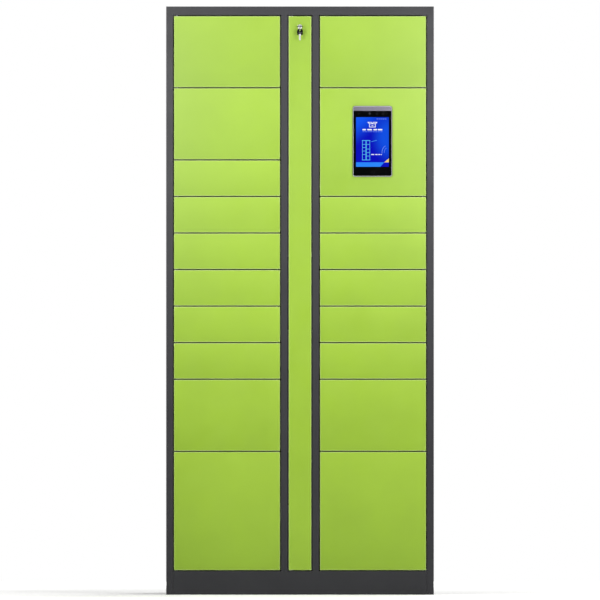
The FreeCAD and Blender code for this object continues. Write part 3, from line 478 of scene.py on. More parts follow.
class Surface(Enum):
    """The finishes of the locker."""

    # Satin green powder coat on the doors: a soft sheen that follows the light, a painted highlight line
    # inside the painted shade on the turn of each fold, and painted shade towards the foot of each panel.
    DOOR_GREEN = PowderCoat("satin_green_powder_coat", "92B430", 0.42, painted_shade_colour="82A422",
                            painted_highlight_colour="E2F8A8")
    # The cover is one tall strip of the same coat: no painted shade down it, the same painted highlight and
    # shade at its folds.
    COVER_GREEN = PowderCoat("satin_green_powder_coat_cover", "8AAC29", 0.42, painted_shade_colour="8AAC29",
                             painted_highlight_colour="E2F8A8")
    # Graphite fine-textured coat on the cabinet: dull and even, paler where the light grazes it.
    CABINET_GREY = TexturedCoat("graphite_textured_powder_coat", "1C1C21", 0.5)
    # Galvanised back, base and plinth rails: cool grey patches.
    GALVANISED = GalvanisedSheet("galvanised_steel_sheet", "B4B8BA", 0.5, metallic=0.9)
    # Zinc-plated ears, pins and studs: bright with a faint blue cast.
    ZINC = Finish("bright_zinc_plated_steel", "B9BEC4", 0.3, metallic=1.0)
    # Die-cast lock cases, tumbled after casting: soft silver.
    DIE_CAST = MouldedPlastic("tumbled_die_cast_zinc", "9A9C9F", 0.45, metallic=1.0)
    # Ground steel bolts and blades.
    GROUND = BrushedMetal("ground_steel", "D4D5D6", 0.36, metallic=1.0)
    # Satin chrome on the lock: pale and bright, with a soft-edged highlight.
    CHROME = BrushedMetal("satin_chrome_plate", "E4E5E8", 0.32, metallic=1.0)
    # Black ABS key bows from a polished mould: deep black with a small clear highlight.
    BLACK_ABS = MouldedPlastic("moulded_black_abs", "060707", 0.22)
    # The smoother inset of a key's bow.
    GREY_ABS = MouldedPlastic("moulded_grey_abs", "3C3E40", 0.35)
    # Anodised aluminium round the terminal, brushed along X.
    ANODISED = BrushedMetal("brushed_anodised_aluminium", "716E7A", 0.36, metallic=1.0)
    # Polished chamfer of the terminal's rim.
    BRIGHT_RIM = BrushedMetal("polished_aluminium_chamfer", "DCDEDC", 0.34, metallic=1.0)
    # Back-painted float glass: black, with a clear reflection.
    BLACK_GLASS = Finish("back_painted_black_glass", "020203", 0.06, ior=1.52)
    # Printed sensor windows under the glass, a shade lighter than the paint.
    SMOKED_PRINT = Finish("smoked_ink_under_glass", "111115", 0.12, ior=1.52)
    # Camera lens: coated optical glass, dark with a violet cast.
    LENS = Finish("coated_lens_glass", "0B1024", 0.02, ior=1.6, coat=1.0)
    # EPDM rubber buffers and grommets.
    RUBBER = MouldedPlastic("moulded_epdm_rubber", "1B1B1C", 0.75)
    # Grey polycarbonate of the electronics housings.
    GREY_PC = MouldedPlastic("moulded_grey_polycarbonate", "2E3033", 0.5)
    # Pale PVC of the wiring duct.
    PALE_PVC = MouldedPlastic("extruded_pale_pvc", "A7ABAD", 0.5)
    # Backlit liquid-crystal display behind glass: it glows in blues of its own whatever the room's light.
    DISPLAY = LitDisplay("lit_display_blue", "000004", 0.08, coat=1.0)
    # Lit shapes on the display: flat, even colours with no shading.
    WHITE_GRAPHIC = LitGraphic("lit_white_graphic", "F4F8FF", 0.2)
    CYAN_GRAPHIC = LitGraphic("lit_cyan_graphic", "56C2F8", 0.2)
    AZURE_GRAPHIC = LitGraphic("lit_azure_graphic", "1C84FA", 0.2)
    PALE_GRAPHIC = LitGraphic("lit_pale_blue_graphic", "6F92F8", 0.2)
    GOLD_GRAPHIC = LitGraphic("lit_gold_graphic", "F2D270", 0.2)
    # Light-emitting diode of a lock: a green point in the dark compartment.
    GREEN_LAMP = LitGraphic("lit_green_lamp", "3BE05A", 0.2)
    # Pale matt sweep, lit from below as well, so that its edge melts into the backdrop.
    FLOOR = BacklitFloor("backlit_pale_floor", "F2F2F0", 0.9)

    def material(self) -> bpy.types.Material:
        """Return the finish as a material.

        Returns:
            The material.
        """
        return self.value.material()


# ---------------------------------------------------------------- mesh tools

def piece(name: str, shape: Shape, surface: Surface, body: str,
          smooth: bool = False) -> bpy.types.Object:
    """Make a finished mesh into a piece that rides on a body.

    Args:
        name: the piece's name.
        shape: its mesh, which this call frees.
        surface: its finish.
        body: the body that it rides on.
        smooth: whether its faces are shaded smooth up to 50 degrees.

    Returns:
        The new object.
    """
    mesh = bpy.data.meshes.new(name)
    bmesh.ops.recalc_face_normals(shape, faces=shape.faces)
    shape.to_mesh(mesh)
    shape.free()
    if smooth:
        mesh.shade_smooth()
        mesh.set_sharp_from_angle(angle=SMOOTH_UP_TO)
    mesh.materials.append(surface.material())
    made = bpy.data.objects.new(name, mesh)
    bpy.context.scene.collection.objects.link(made)
    if smooth:
        even = made.modifiers.new("flat_faces_stay_flat", "WEIGHTED_NORMAL")
        even.keep_sharp = True
        even.weight = 100
    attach(made, body)
    log.info("made %s, on %s", name, body)
    return made


def rounded(width: float, height: float, radius: float, steps: int = 5) -> Outline:
    """Return the outline of a rectangle with round corners, about its middle.

    Args:
        width: its size across.
        height: its size up.
        radius: the radius of its corners.
        steps: the number of steps round each corner.

    Returns:
        The points in order, anticlockwise.
    """
    points = []
    for quarter, (sx, sy) in enumerate(((1, 1), (-1, 1), (-1, -1), (1, -1))):
        centre = (sx * (width / 2 - radius), sy * (height / 2 - radius))
        for step in range(steps + 1):
            angle = math.pi / 2 * (quarter + step / steps)
            points.append((centre[0] + radius * math.cos(angle), centre[1] + radius * math.sin(angle)))
    return points


def eased(corners: Outline, radius: float, steps: int = 5) -> Outline:
    """Return an outline with each of its corners rounded off.

    Args:
        corners: the corners in order.
        radius: how far from each corner its curve starts.
        steps: the number of steps round each corner.

    Returns:
        The points in order.
    """
    points = []
    for index, corner in enumerate(corners):
        here = Vector(corner)
        ends = []
        for other in (corners[index - 1], corners[(index + 1) % len(corners)]):
            run = Vector(other) - here
            ends.append(here + run.normalized() * min(radius, run.length * 0.45))
        for step in range(steps + 1):
            share = step / steps
            point = ends[0] * (1 - share) ** 2 + here * 2 * share * (1 - share) + ends[1] * share ** 2
            points.append((point.x, point.y))
    return points


def disc(radius: float, sides: int = 24) -> Outline:
    """Return a circle's outline about its middle."""
    return [(radius * math.cos(math.tau * k / sides), radius * math.sin(math.tau * k / sides))
            for k in range(sides)]


def moved(points: Outline, across: float, up: float) -> Outline:
    """Return an outline shifted across and up."""
    return [(u + across, v + up) for u, v in points]


class Facing(Enum):
    """The direction that a plate's thickness runs in; an outline's points are (across, up)."""

    Y = Matrix(((1, 0, 0, 0), (0, 0, 1, 0), (0, 1, 0, 0), (0, 0, 0, 1)))
    X = Matrix(((0, 0, 1, 0), (1, 0, 0, 0), (0, 1, 0, 0), (0, 0, 0, 1)))
    Z = Matrix.Identity(4)


def plate(shape: Shape, outline: Outline, start: float, thickness: float,
          facing: Facing = Facing.Y, edge: float = 0.0) -> None:
    """Add a flat plate with a small round along both rims.

    Args:
        shape: the mesh to add to.
        outline: the plate's outline.
        start: where its first face lies, along the facing axis.
        thickness: its thickness along that axis.
        facing: the axis that it faces.
        edge: the size of the round along its rims.
    """
    face = shape.faces.new([shape.verts.new((u, v, start)) for u, v in outline])
    made = bmesh.ops.extrude_face_region(shape, geom=[face])
    verts = [item for item in made["geom"] if isinstance(item, bmesh.types.BMVert)]
    bmesh.ops.translate(shape, verts=verts, vec=(0, 0, thickness))
    everything = verts + list(face.verts)
    if edge:
        rims = {rim for vert in everything for rim in vert.link_edges
                if abs(rim.verts[0].co.z - rim.verts[1].co.z) < thickness * 1e-3}
        rounded_off = bmesh.ops.bevel(shape, geom=list(rims), offset=edge, segments=2, profile=0.5,
                                      affect="EDGES", clamp_overlap=True)
        everything = list({vert for face in rounded_off["faces"] for vert in face.verts}
                          | {vert for vert in everything if vert.is_valid})
    bmesh.ops.transform(shape, matrix=facing.value, verts=everything)


def bridge(shape: Shape, rings: list[list[bmesh.types.BMVert]], closed: bool = False) -> None:
    """Join rings of points with faces.

    Args:
        shape: the mesh that holds them.
        rings: the rings in order, all with the same number of points.
        closed: whether the last ring is joined to the first.
    """
    for low, high in zip(rings, rings[1:] + (rings[:1] if closed else [])):
        for k in range(len(low)):
            after = (k + 1) % len(low)
            shape.faces.new((low[k], low[after], high[after], high[k]))


def turned(shape: Shape, profile: Outline, centre: Vector, facing: Facing = Facing.Y,
           sides: int = 40) -> None:
    """Add a solid of revolution.

    Args:
        shape: the mesh to add to.
        profile: points of (distance along the axis, radius), from one end to the other.
        centre: where the axis starts.
        facing: the axis that it turns about.
        sides: the number of sides round it.
    """
    rings = []
    for along, radius in profile:
        ring = []
        for k in range(sides):
            angle = math.tau * k / sides
            local = Vector((radius * math.cos(angle), radius * math.sin(angle), along))
            ring.append(shape.verts.new(centre + facing.value.to_3x3() @ local))
        rings.append(ring)
    bridge(shape, rings)
    shape.faces.new(rings[0])
    shape.faces.new(rings[-1])


def tube(shape: Shape, path: list[Vector], radius: float, sides: int) -> None:
    """Add a round wire along a path.

    Args:
        shape: the mesh to add to.
        path: the points of its middle line.
        radius: the wire's radius.
        sides: the number of sides round it.
    """
    rings = []
    normal = None
    for index, point in enumerate(path):
        before = path[max(index - 1, 0)]
        after = path[min(index + 1, len(path) - 1)]
        along = (after - before).normalized()
        if normal is None:
            normal = along.orthogonal().normalized()
        normal = (normal - along * normal.dot(along)).normalized()
        side = along.cross(normal)
        rings.append([shape.verts.new(point + normal * u + side * v) for u, v in disc(radius, sides)])
    bridge(shape, rings)
    shape.faces.new(rings[0])
    shape.faces.new(rings[-1])


def softened(node: str, surface: Surface, body: str, width: float = 0.4 * MM,
             fitting: tuple[Surface, Vector, Vector] | None = None) -> bpy.types.Object:
    """Stand in for a sheet-metal node with the same shape, its cut edges broken by a fine round.

    Args:
        node: the node's name.
        surface: its finish.
        body: the body that it rides on.
        width: the size of the round.
        fitting: another finish, and the lowest and highest corners of the part of the node that has it.

    Returns:
        The piece that replaces the node.
    """
    shape = bmesh.new()
    shape.from_mesh(frame["nodes"][node].data)
    bmesh.ops.remove_doubles(shape, verts=shape.verts, dist=1e-6)
    bmesh.ops.dissolve_limit(shape, angle_limit=math.radians(1), verts=shape.verts, edges=shape.edges)
    sharp = [edge for edge in shape.edges
             if len(edge.link_faces) == 2 and edge.calc_face_angle(0) > CUT_EDGE_FROM]
    bmesh.ops.bevel(shape, geom=sharp, offset=width, segments=2, profile=0.5, affect="EDGES",
                    clamp_overlap=True)
    if fitting:
        _, low, high = fitting
        for face in shape.faces:
            centre = face.calc_center_median()
            face.material_index = int(all(low[k] < centre[k] < high[k] for k in range(3)))
    made = piece(f"{node}_sheet", shape, surface, body, smooth=True)
    if fitting:
        made.data.materials.append(fitting[0].material())
    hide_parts(node)
    return made


def box_corners(node: str) -> tuple[Vector, Vector]:
    """Return the lowest and highest corners of a node's box."""
    low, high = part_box(node)
    return Vector(low), Vector(high)


# ---------------------------------------------------------------- cabinet

@dataclass
class Cabinet:
    """The fixed sheet metal: side panels, roof, mullions, plinth, shelves and back."""

    rivet_radius: float = 2.4 * MM
    rivet_height: float = 0.9 * MM
    rivet_pitch: float = 160 * MM
    rivet_inset: float = 9 * MM
    plug_radius: float = 7.5 * MM
    plug_height: float = 0.5 * MM
    coupling_inset: float = 150 * MM
    coupling_offset: float = 180 * MM
    grommet_radius: float = 21 * MM
    grommet_bore: float = 12 * MM
    grommet_lip: float = 3 * MM

    def build(self) -> None:
        """Finish the sheets and add the rivets, plugs and grommet."""
        for node in ("side_panel_left", "side_panel_right", "top_panel", "kick_plate", "channel_wall_left",
                     "channel_wall_right", "compartment_shelves", "hinge_brackets"):
            softened(node, Surface.CABINET_GREY, "cabinet")
        for node in ("base_panel", "plinth_rails", "back_panel"):
            softened(node, Surface.GALVANISED, "cabinet", width=0.3 * MM)
        for node in ("hinge_pins", "levelling_feet"):
            dress(node, Surface.ZINC)
        self.rivets()
        self.coupling_plugs()
        self.grommet()

    def rivets(self) -> None:
        """Add the row of blind rivets down each rear flange."""
        low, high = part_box("back_panel")
        rear = box_corners("side_panel_left")[1].y
        shape = bmesh.new()
        count = round((high[2] - low[2]) / self.rivet_pitch)
        for side in (-1, 1):
            for step in range(count):
                z = low[2] + (step + 0.5) * (high[2] - low[2]) / count
                self.rivet(shape, Vector((side * (high[0] - self.rivet_inset), rear, z)))
        piece("rear_rivets", shape, Surface.ZINC, "cabinet", smooth=True)

    def rivet(self, shape: Shape, centre: Vector) -> None:
        """Add one domed rivet head that stands out of the back.

        Args:
            shape: the mesh to add to.
            centre: the middle of its foot.
        """
        radius, height = self.rivet_radius, self.rivet_height
        profile = [(0, radius), (0.45 * height, radius * 0.93), (0.85 * height, radius * 0.6),
                   (height, radius * 0.3), (0.7 * height, radius * 0.22)]
        turned(shape, profile, centre, sides=16)

    def coupling_plugs(self) -> None:
        """Close the side coupling holes with black snap-in plugs."""
        for side, name in ((-1, "left"), (1, "right")):
            low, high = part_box(f"side_panel_{name}")
            face = low[0] if side < 0 else high[0]
            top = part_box("top_panel")[1][2]
            shape = bmesh.new()
            for y in (-self.coupling_offset, self.coupling_offset):
                for z in (self.coupling_inset, top - self.coupling_inset):
                    height = side * self.plug_height
                    profile = [(0, self.plug_radius), (0.6 * height, self.plug_radius * 0.97),
                               (height, self.plug_radius * 0.8), (1.05 * height, self.plug_radius * 0.3)]
                    turned(shape, profile, Vector((face, y, z)), Facing.X, sides=28)
            piece(f"coupling_plugs_{name}", shape, Surface.RUBBER, "cabinet", smooth=True)

    def grommet(self) -> None:
        """Line the cable entry with a rubber grommet."""
        low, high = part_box("back_panel")
        mount = next(item for item in frame["record"]["mounts"] if item["name"] == "cable_entry")
        _, y, z = mount["pos_m"]
        lip, outer, bore = self.grommet_lip, self.grommet_radius, self.grommet_bore
        groove = mount["dims"]["r_mm"] * MM
        sheet = (high[1] - low[1]) / 2
        profile = [(-sheet - lip, bore), (-sheet - lip, outer * 0.92), (-sheet - lip * 0.6, outer),
                   (-sheet, outer), (-sheet, groove), (sheet, groove), (sheet, outer),
                   (sheet + lip * 0.6, outer), (sheet + lip, outer * 0.92), (sheet + lip, bore)]
        shape = bmesh.new()
        turned(shape, profile, Vector((0, y, z)))
        piece("cable_grommet", shape, Surface.RUBBER, "cabinet", smooth=True)


def dress(node: str, surface: Surface) -> None:
    """Give a node that keeps its own shape a finish.

    Args:
        node: the node's name.
        surface: its finish.
    """
    item = frame["nodes"][node]
    item.data.materials.clear()
    item.data.materials.append(surface.material())


# ---------------------------------------------------------------- doors

@dataclass
class Door:
    """One compartment door: its coat, the hems of its folded edges, a stiffener and the rubber buffers."""

    name: str
    sheet: float = 1.0 * MM
    hem: float = 8 * MM
    pan_depth: float = 20 * MM
    strike_room: float = 15 * MM
    strike_start: float = 2 * MM
    strike_reach: float = 24 * MM
    strike_clearance: float = 0.05 * MM
    stiffener_width: float = 42 * MM
    stiffener_depth: float = 12 * MM
    stiffener_brim: float = 10 * MM
    stiffener_gap: float = 4 * MM
    stiffener_aside: float = 0.14       # share of the width, where the terminal fills the middle
    tall: float = 200 * MM
    buffer_radius: float = 3 * MM
    buffer_height: float = 1.5 * MM
    buffer_inset: float = 15 * MM

    def build(self) -> None:
        """Dress the door and add its pieces."""
        self.low, self.high = box_corners(self.name)
        self.outward = 1 if self.low.x > 0 else -1
        self.lock_x, self.hinge_x = (self.low.x, self.high.x)[::self.outward]
        self.half = (self.low.z + self.high.z) / 2
        self.back = self.low.y + self.pan_depth
        self.pan()
        self.hems()
        if self.high.z - self.low.z > self.tall:
            self.stiffener()
        self.buffers()

    def pan(self) -> None:
        """Coat the folded pan and its hinge blocks, and leave the strike at its lock edge in bare zinc."""
        near, far = sorted((self.lock_x + self.outward * self.strike_start,
                            self.lock_x + self.outward * self.strike_reach))
        corner = Vector((near, self.low.y + self.sheet + self.strike_clearance, self.half - self.strike_room))
        other = Vector((far, self.high.y + MM, self.half + self.strike_room))
        softened(self.name, Surface.DOOR_GREEN, self.name, width=0.3 * MM,
                 fitting=(Surface.ZINC, corner, other))

    def hems(self) -> None:
        """Fold the rear edge of the pan inwards, with a break where the strike passes."""
        left, right = self.low.x + self.sheet, self.high.x - self.sheet
        bottom, top = self.low.z + self.sheet, self.high.z - self.sheet
        hinge_x = self.hinge_x - self.outward * self.sheet
        lock_x = self.lock_x + self.outward * self.sheet
        rise = (bottom + self.hem, top - self.hem)
        spans = [((left, right), (bottom, rise[0])), ((left, right), (rise[1], top)),
                 (sorted((hinge_x, hinge_x - self.outward * self.hem)), rise)]
        for part in ((rise[0], self.half - self.strike_room), (self.half + self.strike_room, rise[1])):
            spans.append((sorted((lock_x, lock_x + self.outward * self.hem)), part))
        shape = bmesh.new()
        for (start, end), (foot, head) in spans:
            plate(shape, [(start, foot), (end, foot), (end, head), (start, head)], self.back - self.sheet,
                  self.sheet)
        piece(f"{self.name}_hems", shape, Surface.DOOR_GREEN, self.name)

    def stiffener(self) -> None:
        """Weld a hat section down the middle of the inside, or beside the terminal."""
        across = (self.low.x + self.high.x) / 2
        if self.name == Terminal.body:
            across = self.low.x + (self.high.x - self.low.x) * self.stiffener_aside
        inner = self.low.y + self.sheet
        half, depth, sheet = self.stiffener_width / 2, self.stiffener_depth, self.sheet
        brim = half + self.stiffener_brim
        section = [(-brim, 0), (-half, 0), (-half, depth - sheet), (half, depth - sheet), (half, 0),
                   (brim, 0), (brim, sheet), (half + sheet, sheet), (half + sheet, depth),
                   (-half - sheet, depth), (-half - sheet, sheet), (-brim, sheet)]
        ends = self.sheet + self.hem + self.stiffener_gap
        shape = bmesh.new()
        plate(shape, [(across + u, inner + v) for u, v in section], self.low.z + ends,
              self.high.z - self.low.z - 2 * ends, Facing.Z)
        piece(f"{self.name}_stiffener", shape, Surface.DOOR_GREEN, self.name)

    def buffers(self) -> None:
        """Stick two rubber buffers on the hem beside the lock."""
        shape = bmesh.new()
        radius, height = self.buffer_radius, self.buffer_height
        x = self.lock_x + self.outward * (self.sheet + self.hem * 0.75)
        for z in (self.low.z + self.buffer_inset, self.high.z - self.buffer_inset):
            turned(shape, [(0, radius), (height * 0.7, radius * 0.9), (height, radius * 0.6)],
                   Vector((x, self.back, z)), sides=20)
        piece(f"{self.name}_buffers", shape, Surface.RUBBER, self.name, smooth=True)


# ---------------------------------------------------------------- locks inside

@dataclass
class ElectricLocks:
    """The lock housings beside the doors and their bolts."""

    screw_radius: float = 2.2 * MM
    screw_height: float = 1.2 * MM
    screw_rise: float = 24 * MM
    middle_rise: float = 9 * MM         # middle of a housing above its bolt's top
    lamp_radius: float = 1.5 * MM
    lamp_rise: float = 20 * MM
    lamp_inset: float = 3 * MM
    socket_size: Point = (9 * MM, 12 * MM)
    socket_depth: float = 7 * MM
    socket_drop: float = 18 * MM

    def build(self) -> None:
        """Dress the housings and bolts, and add screws, a lamp and a wiring socket to each."""
        softened("lock_housings", Surface.DIE_CAST, "cabinet", width=0.8 * MM)
        screws = bmesh.new()
        lamps = bmesh.new()
        sockets = bmesh.new()
        for body in frame["bodies"]:
            if not body.startswith("latch_"):
                continue
            dress(body, Surface.GROUND)
            self.around(body, screws, lamps, sockets)
        piece("lock_screws", screws, Surface.ZINC, "cabinet", smooth=True)
        piece("lock_lamps", lamps, Surface.GREEN_LAMP, "cabinet", smooth=True)
        piece("lock_sockets", sockets, Surface.GREY_PC, "cabinet")

    def around(self, bolt: str, screws: Shape, lamps: Shape, sockets: Shape) -> None:
        """Add one housing's small pieces.

        Args:
            bolt: the name of its bolt's node.
            screws: the mesh that holds every screw.
            lamps: the mesh that holds every lamp.
            sockets: the mesh that holds every socket.
        """
        low, high = box_corners(bolt)
        side = 1 if low.x > 0 else -1
        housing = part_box("lock_housings")
        case_x = housing[1][0] if side > 0 else housing[0][0]
        front, rear = housing[0][1], housing[1][1]
        z = high.z + self.middle_rise
        for rise in (-self.screw_rise, self.screw_rise):
            height, radius = self.screw_height * side, self.screw_radius
            profile = [(0, radius), (0.6 * height, radius), (height, radius * 0.75), (height, radius * 0.35),
                       (0.4 * height, radius * 0.3)]
            turned(screws, profile, Vector((case_x, (front + rear) / 2, z + rise)), Facing.X, sides=18)
        lamp = [(0, self.lamp_radius), (-0.6 * MM, self.lamp_radius * 0.85),
                (-1 * MM, self.lamp_radius * 0.4)]
        turned(lamps, lamp, Vector((case_x - side * self.lamp_inset, front, z + self.lamp_rise)), sides=16)
        width, height = self.socket_size
        outline = moved(rounded(width, height, 1 * MM, 2), case_x - side * 7 * MM, z - self.socket_drop)
        plate(sockets, outline, rear, self.socket_depth, edge=0.4 * MM)


# ---------------------------------------------------------------- service cover, lock and keys

@dataclass
class KeyLock:
    """The cam lock in the service cover with its two keys."""

    bore: float = 5.05 * MM
    collar_radius: float = 8.25 * MM
    collar_height: float = 2 * MM
    barrel: float = 7.25 * MM
    nut: float = 11.75 * MM
    nut_seat: float = 3 * MM
    nut_thickness: float = 3 * MM
    ring_wire: float = 0.75 * MM
    ring_radius: float = 7.2 * MM
    blade_exposed: float = 4 * MM
    blade_half: float = 3.5 * MM
    blade_thickness: float = 2 * MM
    blade_nose: float = 2.5 * MM
    notch_pitch: float = 2.5 * MM
    notch_depths: tuple[float, ...] = (0.9 * MM, 1.6 * MM, 0.6 * MM, 1.9 * MM, 1.2 * MM)
    spare_hole: float = 2.2 * MM
    spare_web: float = 3 * MM
    bow_thickness: float = 2.5 * MM
    bow_length: float = 20 * MM
    bow_width: float = 18 * MM

    def build(self) -> None:
        """Dress the lock, and replace the plain keys with finished ones."""
        self.low, self.high = box_corners("key_lock_barrel")
        self.z = (self.low.z + self.high.z) / 2
        softened("service_cover", Surface.COVER_GREEN, "cover", width=0.3 * MM)
        self.collar()
        dress("key_lock_plug", Surface.CHROME)
        self.service_key()
        self.key_ring()
        self.spare_key()
        log.info("key lock dressed")

    def collar(self) -> None:
        """Turn the barrel with a soft dished collar, and keep its nut behind the cover."""
        centre = Vector((0, self.low.y, self.z))
        length = self.high.y - self.low.y
        bore, collar, barrel = self.bore, self.collar_radius, self.barrel
        profile = [(0.6 * MM, bore), (0.1 * MM, bore + 0.9 * MM), (0, bore + 1.4 * MM),
                   (0.2 * MM, collar - 0.9 * MM), (0.8 * MM, collar - 0.2 * MM), (1.3 * MM, collar),
                   (self.collar_height, collar), (self.collar_height, barrel), (length, barrel),
                   (length, bore), (0.6 * MM, bore)]
        shape = bmesh.new()
        turned_ring(shape, profile, centre, 64)
        plate(shape, moved(disc(self.nut, 6), 0, centre.z), centre.y + self.nut_seat, self.nut_thickness,
              edge=0.3 * MM)
        made = piece("key_lock_collar", shape, Surface.CHROME, "cover", smooth=True)
        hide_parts("key_lock_barrel")

    def service_key(self) -> None:
        """Build the key in the lock: steel blade, and a black bow with a hole for the ring."""
        end = box_corners("service_key")[1].y
        root = self.low.y - self.blade_exposed
        tip = root - self.bow_length
        shape = bmesh.new()
        outline = moved(rounded(self.bow_width, self.bow_length, 5 * MM), 0, tip + self.bow_length / 2)
        hole = moved(rounded(8 * MM, 6 * MM, 2.6 * MM), 0, tip + 6.2 * MM)
        holed_plate(shape, outline, hole, self.z - self.bow_thickness / 2, self.bow_thickness, Facing.Z,
                    0.5 * MM)
        bow = piece("service_key_bow", shape, Surface.BLACK_ABS, "plug", smooth=True)
        blade = bmesh.new()
        start, half, nose = root - 1 * MM, self.blade_half, self.blade_nose
        outline = [(-half, start), (half, start), (half, end - nose), (half - nose, end), (-half + nose, end),
                   (-half, end - nose)]
        plate(blade, outline, self.z - self.blade_thickness / 2, self.blade_thickness, Facing.Z, 0.15 * MM)
        steel = piece("service_key_blade", blade, Surface.GROUND, "plug")
        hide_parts("service_key")
        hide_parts("service_key")

    def key_ring(self) -> None:
        """Wind the split ring, two turns of wire side by side."""
        low = box_corners("service_key")[0]
        y = low.y + self.ring_radius + self.ring_wire
        centre_z = low.z + self.ring_radius + self.ring_wire
        steps, turns, path = 96, 2, []
        for step in range(steps + 1):
            share = step / steps
            angle = math.tau * turns * share
            path.append(Vector(((share - 0.5) * 0.9 * MM, y + self.ring_radius * math.cos(angle),
                                centre_z + self.ring_radius * math.sin(angle))))
        ring = bmesh.new()
        tube(ring, path, self.ring_wire * 0.6, sides=10)
        wire = piece("key_split_ring", ring, Surface.CHROME, "plug", smooth=True)
        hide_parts("service_key")

    def spare_key(self) -> None:
        """Build the spare key: black bow with its grey inset, and a cut blade."""
        low, high = box_corners("spare_key")
        y, thickness = (low.y + high.y) / 2, self.bow_thickness
        bow_z = high.z - 10.5 * MM
        shape = bmesh.new()
        hole = moved(disc(self.spare_hole, 24), 0, high.z - self.spare_web - self.spare_hole)
        holed_plate(shape, moved(self.bow_outline(), 0, bow_z), hole, y - thickness / 2, thickness, Facing.Y,
                    0.5 * MM)
        bow = piece("spare_key_bow", shape, Surface.BLACK_ABS, "spare", smooth=True)
        inset = bmesh.new()
        outline = moved(rounded(10.5 * MM, 6 * MM, 2.9 * MM), 0, bow_z - 2.2 * MM)
        plate(inset, outline, y - thickness / 2 - 0.2 * MM, thickness + 0.4 * MM, edge=0.15 * MM)
        panel = piece("spare_key_inset", inset, Surface.GREY_ABS, "spare", smooth=True)
        blade = bmesh.new()
        plate(blade, self.blade_outline(low.z, bow_z - 5.4 * MM), y - self.blade_thickness / 2,
              self.blade_thickness, edge=0.12 * MM)
        steel = piece("spare_key_blade", blade, Surface.GROUND, "spare")
        for made in (bow, panel, steel):
            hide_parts("spare_key")

    def bow_outline(self) -> Outline:
        """Return a bow's outline: widest near its middle, with a gap at its foot where the blade shows.

        Returns:
            The outline.
        """
        gap = self.blade_half + 0.4 * MM
        corners = [(-7 * MM, 10.5 * MM), (-10.6 * MM, 1.6 * MM), (-8.8 * MM, -10.3 * MM), (-gap, -10.3 * MM),
                   (-gap, -6 * MM), (gap, -6 * MM), (gap, -10.3 * MM), (8.8 * MM, -10.3 * MM),
                   (10.6 * MM, 1.6 * MM), (7 * MM, 10.5 * MM)]
        return eased(corners, 2 * MM)

    def blade_outline(self, tip: float, root: float) -> Outline:
        """Return a flat blade's outline, cut with five notches of different depth down one edge.

        Args:
            tip: the height of the blade's lower end.
            root: the height of its upper end.

        Returns:
            The outline.
        """
        half, nose, pitch = self.blade_half, self.blade_nose, self.notch_pitch
        points = [(half, root), (-half, root), (-half, tip + nose), (-half + nose, tip), (half - nose, tip)]
        for index, depth in enumerate(self.notch_depths):
            z = tip + nose + pitch * index
            points += [(half, z), (half - depth, z + pitch * 0.35), (half - depth, z + pitch * 0.6)]
        points.append((half, tip + nose + pitch * len(self.notch_depths)))
        return points


def turned_ring(shape: Shape, profile: Outline, centre: Vector, sides: int) -> None:
    """Add a turned ring about the Y axis, from a profile that closes on itself.

    Args:
        shape: the mesh to add to.
        profile: points of (distance along the axis, radius), the last one the same as the first.
        centre: where the axis starts.
        sides: the number of sides round it.
    """
    rings = [[shape.verts.new(centre + Vector((radius * math.cos(math.tau * k / sides), along,
                                               radius * math.sin(math.tau * k / sides))))
              for k in range(sides)] for along, radius in profile[:-1]]
    bridge(shape, rings, closed=True)


def holed_plate(shape: Shape, outline: Outline, hole: Outline, start: float, thickness: float,
                facing: Facing, edge: float) -> None:
    """Add a plate with one hole, with a round along its outer rims.

    Args:
        shape: the mesh to add to.
        outline: the plate's outline.
        hole: the hole's outline.
        start: where its first face lies, along the facing axis.
        thickness: its thickness along that axis.
        facing: the axis that it faces.
        edge: the size of the round.
    """
    layers = []
    for height, inset in ((0, edge), (edge, 0), (thickness - edge, 0), (thickness, edge)):
        layers.append([shape.verts.new((u, v, start + height)) for u, v in shrunk(outline, inset)])
    holes = [[shape.verts.new((u, v, start + height)) for u, v in hole] for height in (0, thickness)]
    bridge(shape, layers)
    bridge(shape, holes)
    for rim, gap in ((layers[0], holes[0]), (layers[-1], holes[1])):
        edges = [shape.edges.get((loop[k], loop[(k + 1) % len(loop)])) for loop in (rim, gap)
                 for k in range(len(loop))]
        bmesh.ops.triangle_fill(shape, use_beauty=True, use_dissolve=False, edges=edges)
    everything = [vert for layer in layers + holes for vert in layer]
    bmesh.ops.transform(shape, matrix=facing.value, verts=everything)


def shrunk(outline: Outline, inset: float) -> Outline:
    """Return an outline drawn in towards its middle by about the inset.

    Args:
        outline: the outline.
        inset: how far its farthest point moves in.

    Returns:
        The smaller outline.
    """
    if not inset:
        return outline
    cu = sum(u for u, _ in outline) / len(outline)
    cv = sum(v for _, v in outline) / len(outline)
    reach = max(math.hypot(u - cu, v - cv) for u, v in outline)
    return [(cu + (u - cu) * (1 - inset / reach), cv + (v - cv) * (1 - inset / reach)) for u, v in outline]


# ---------------------------------------------------------------- terminal

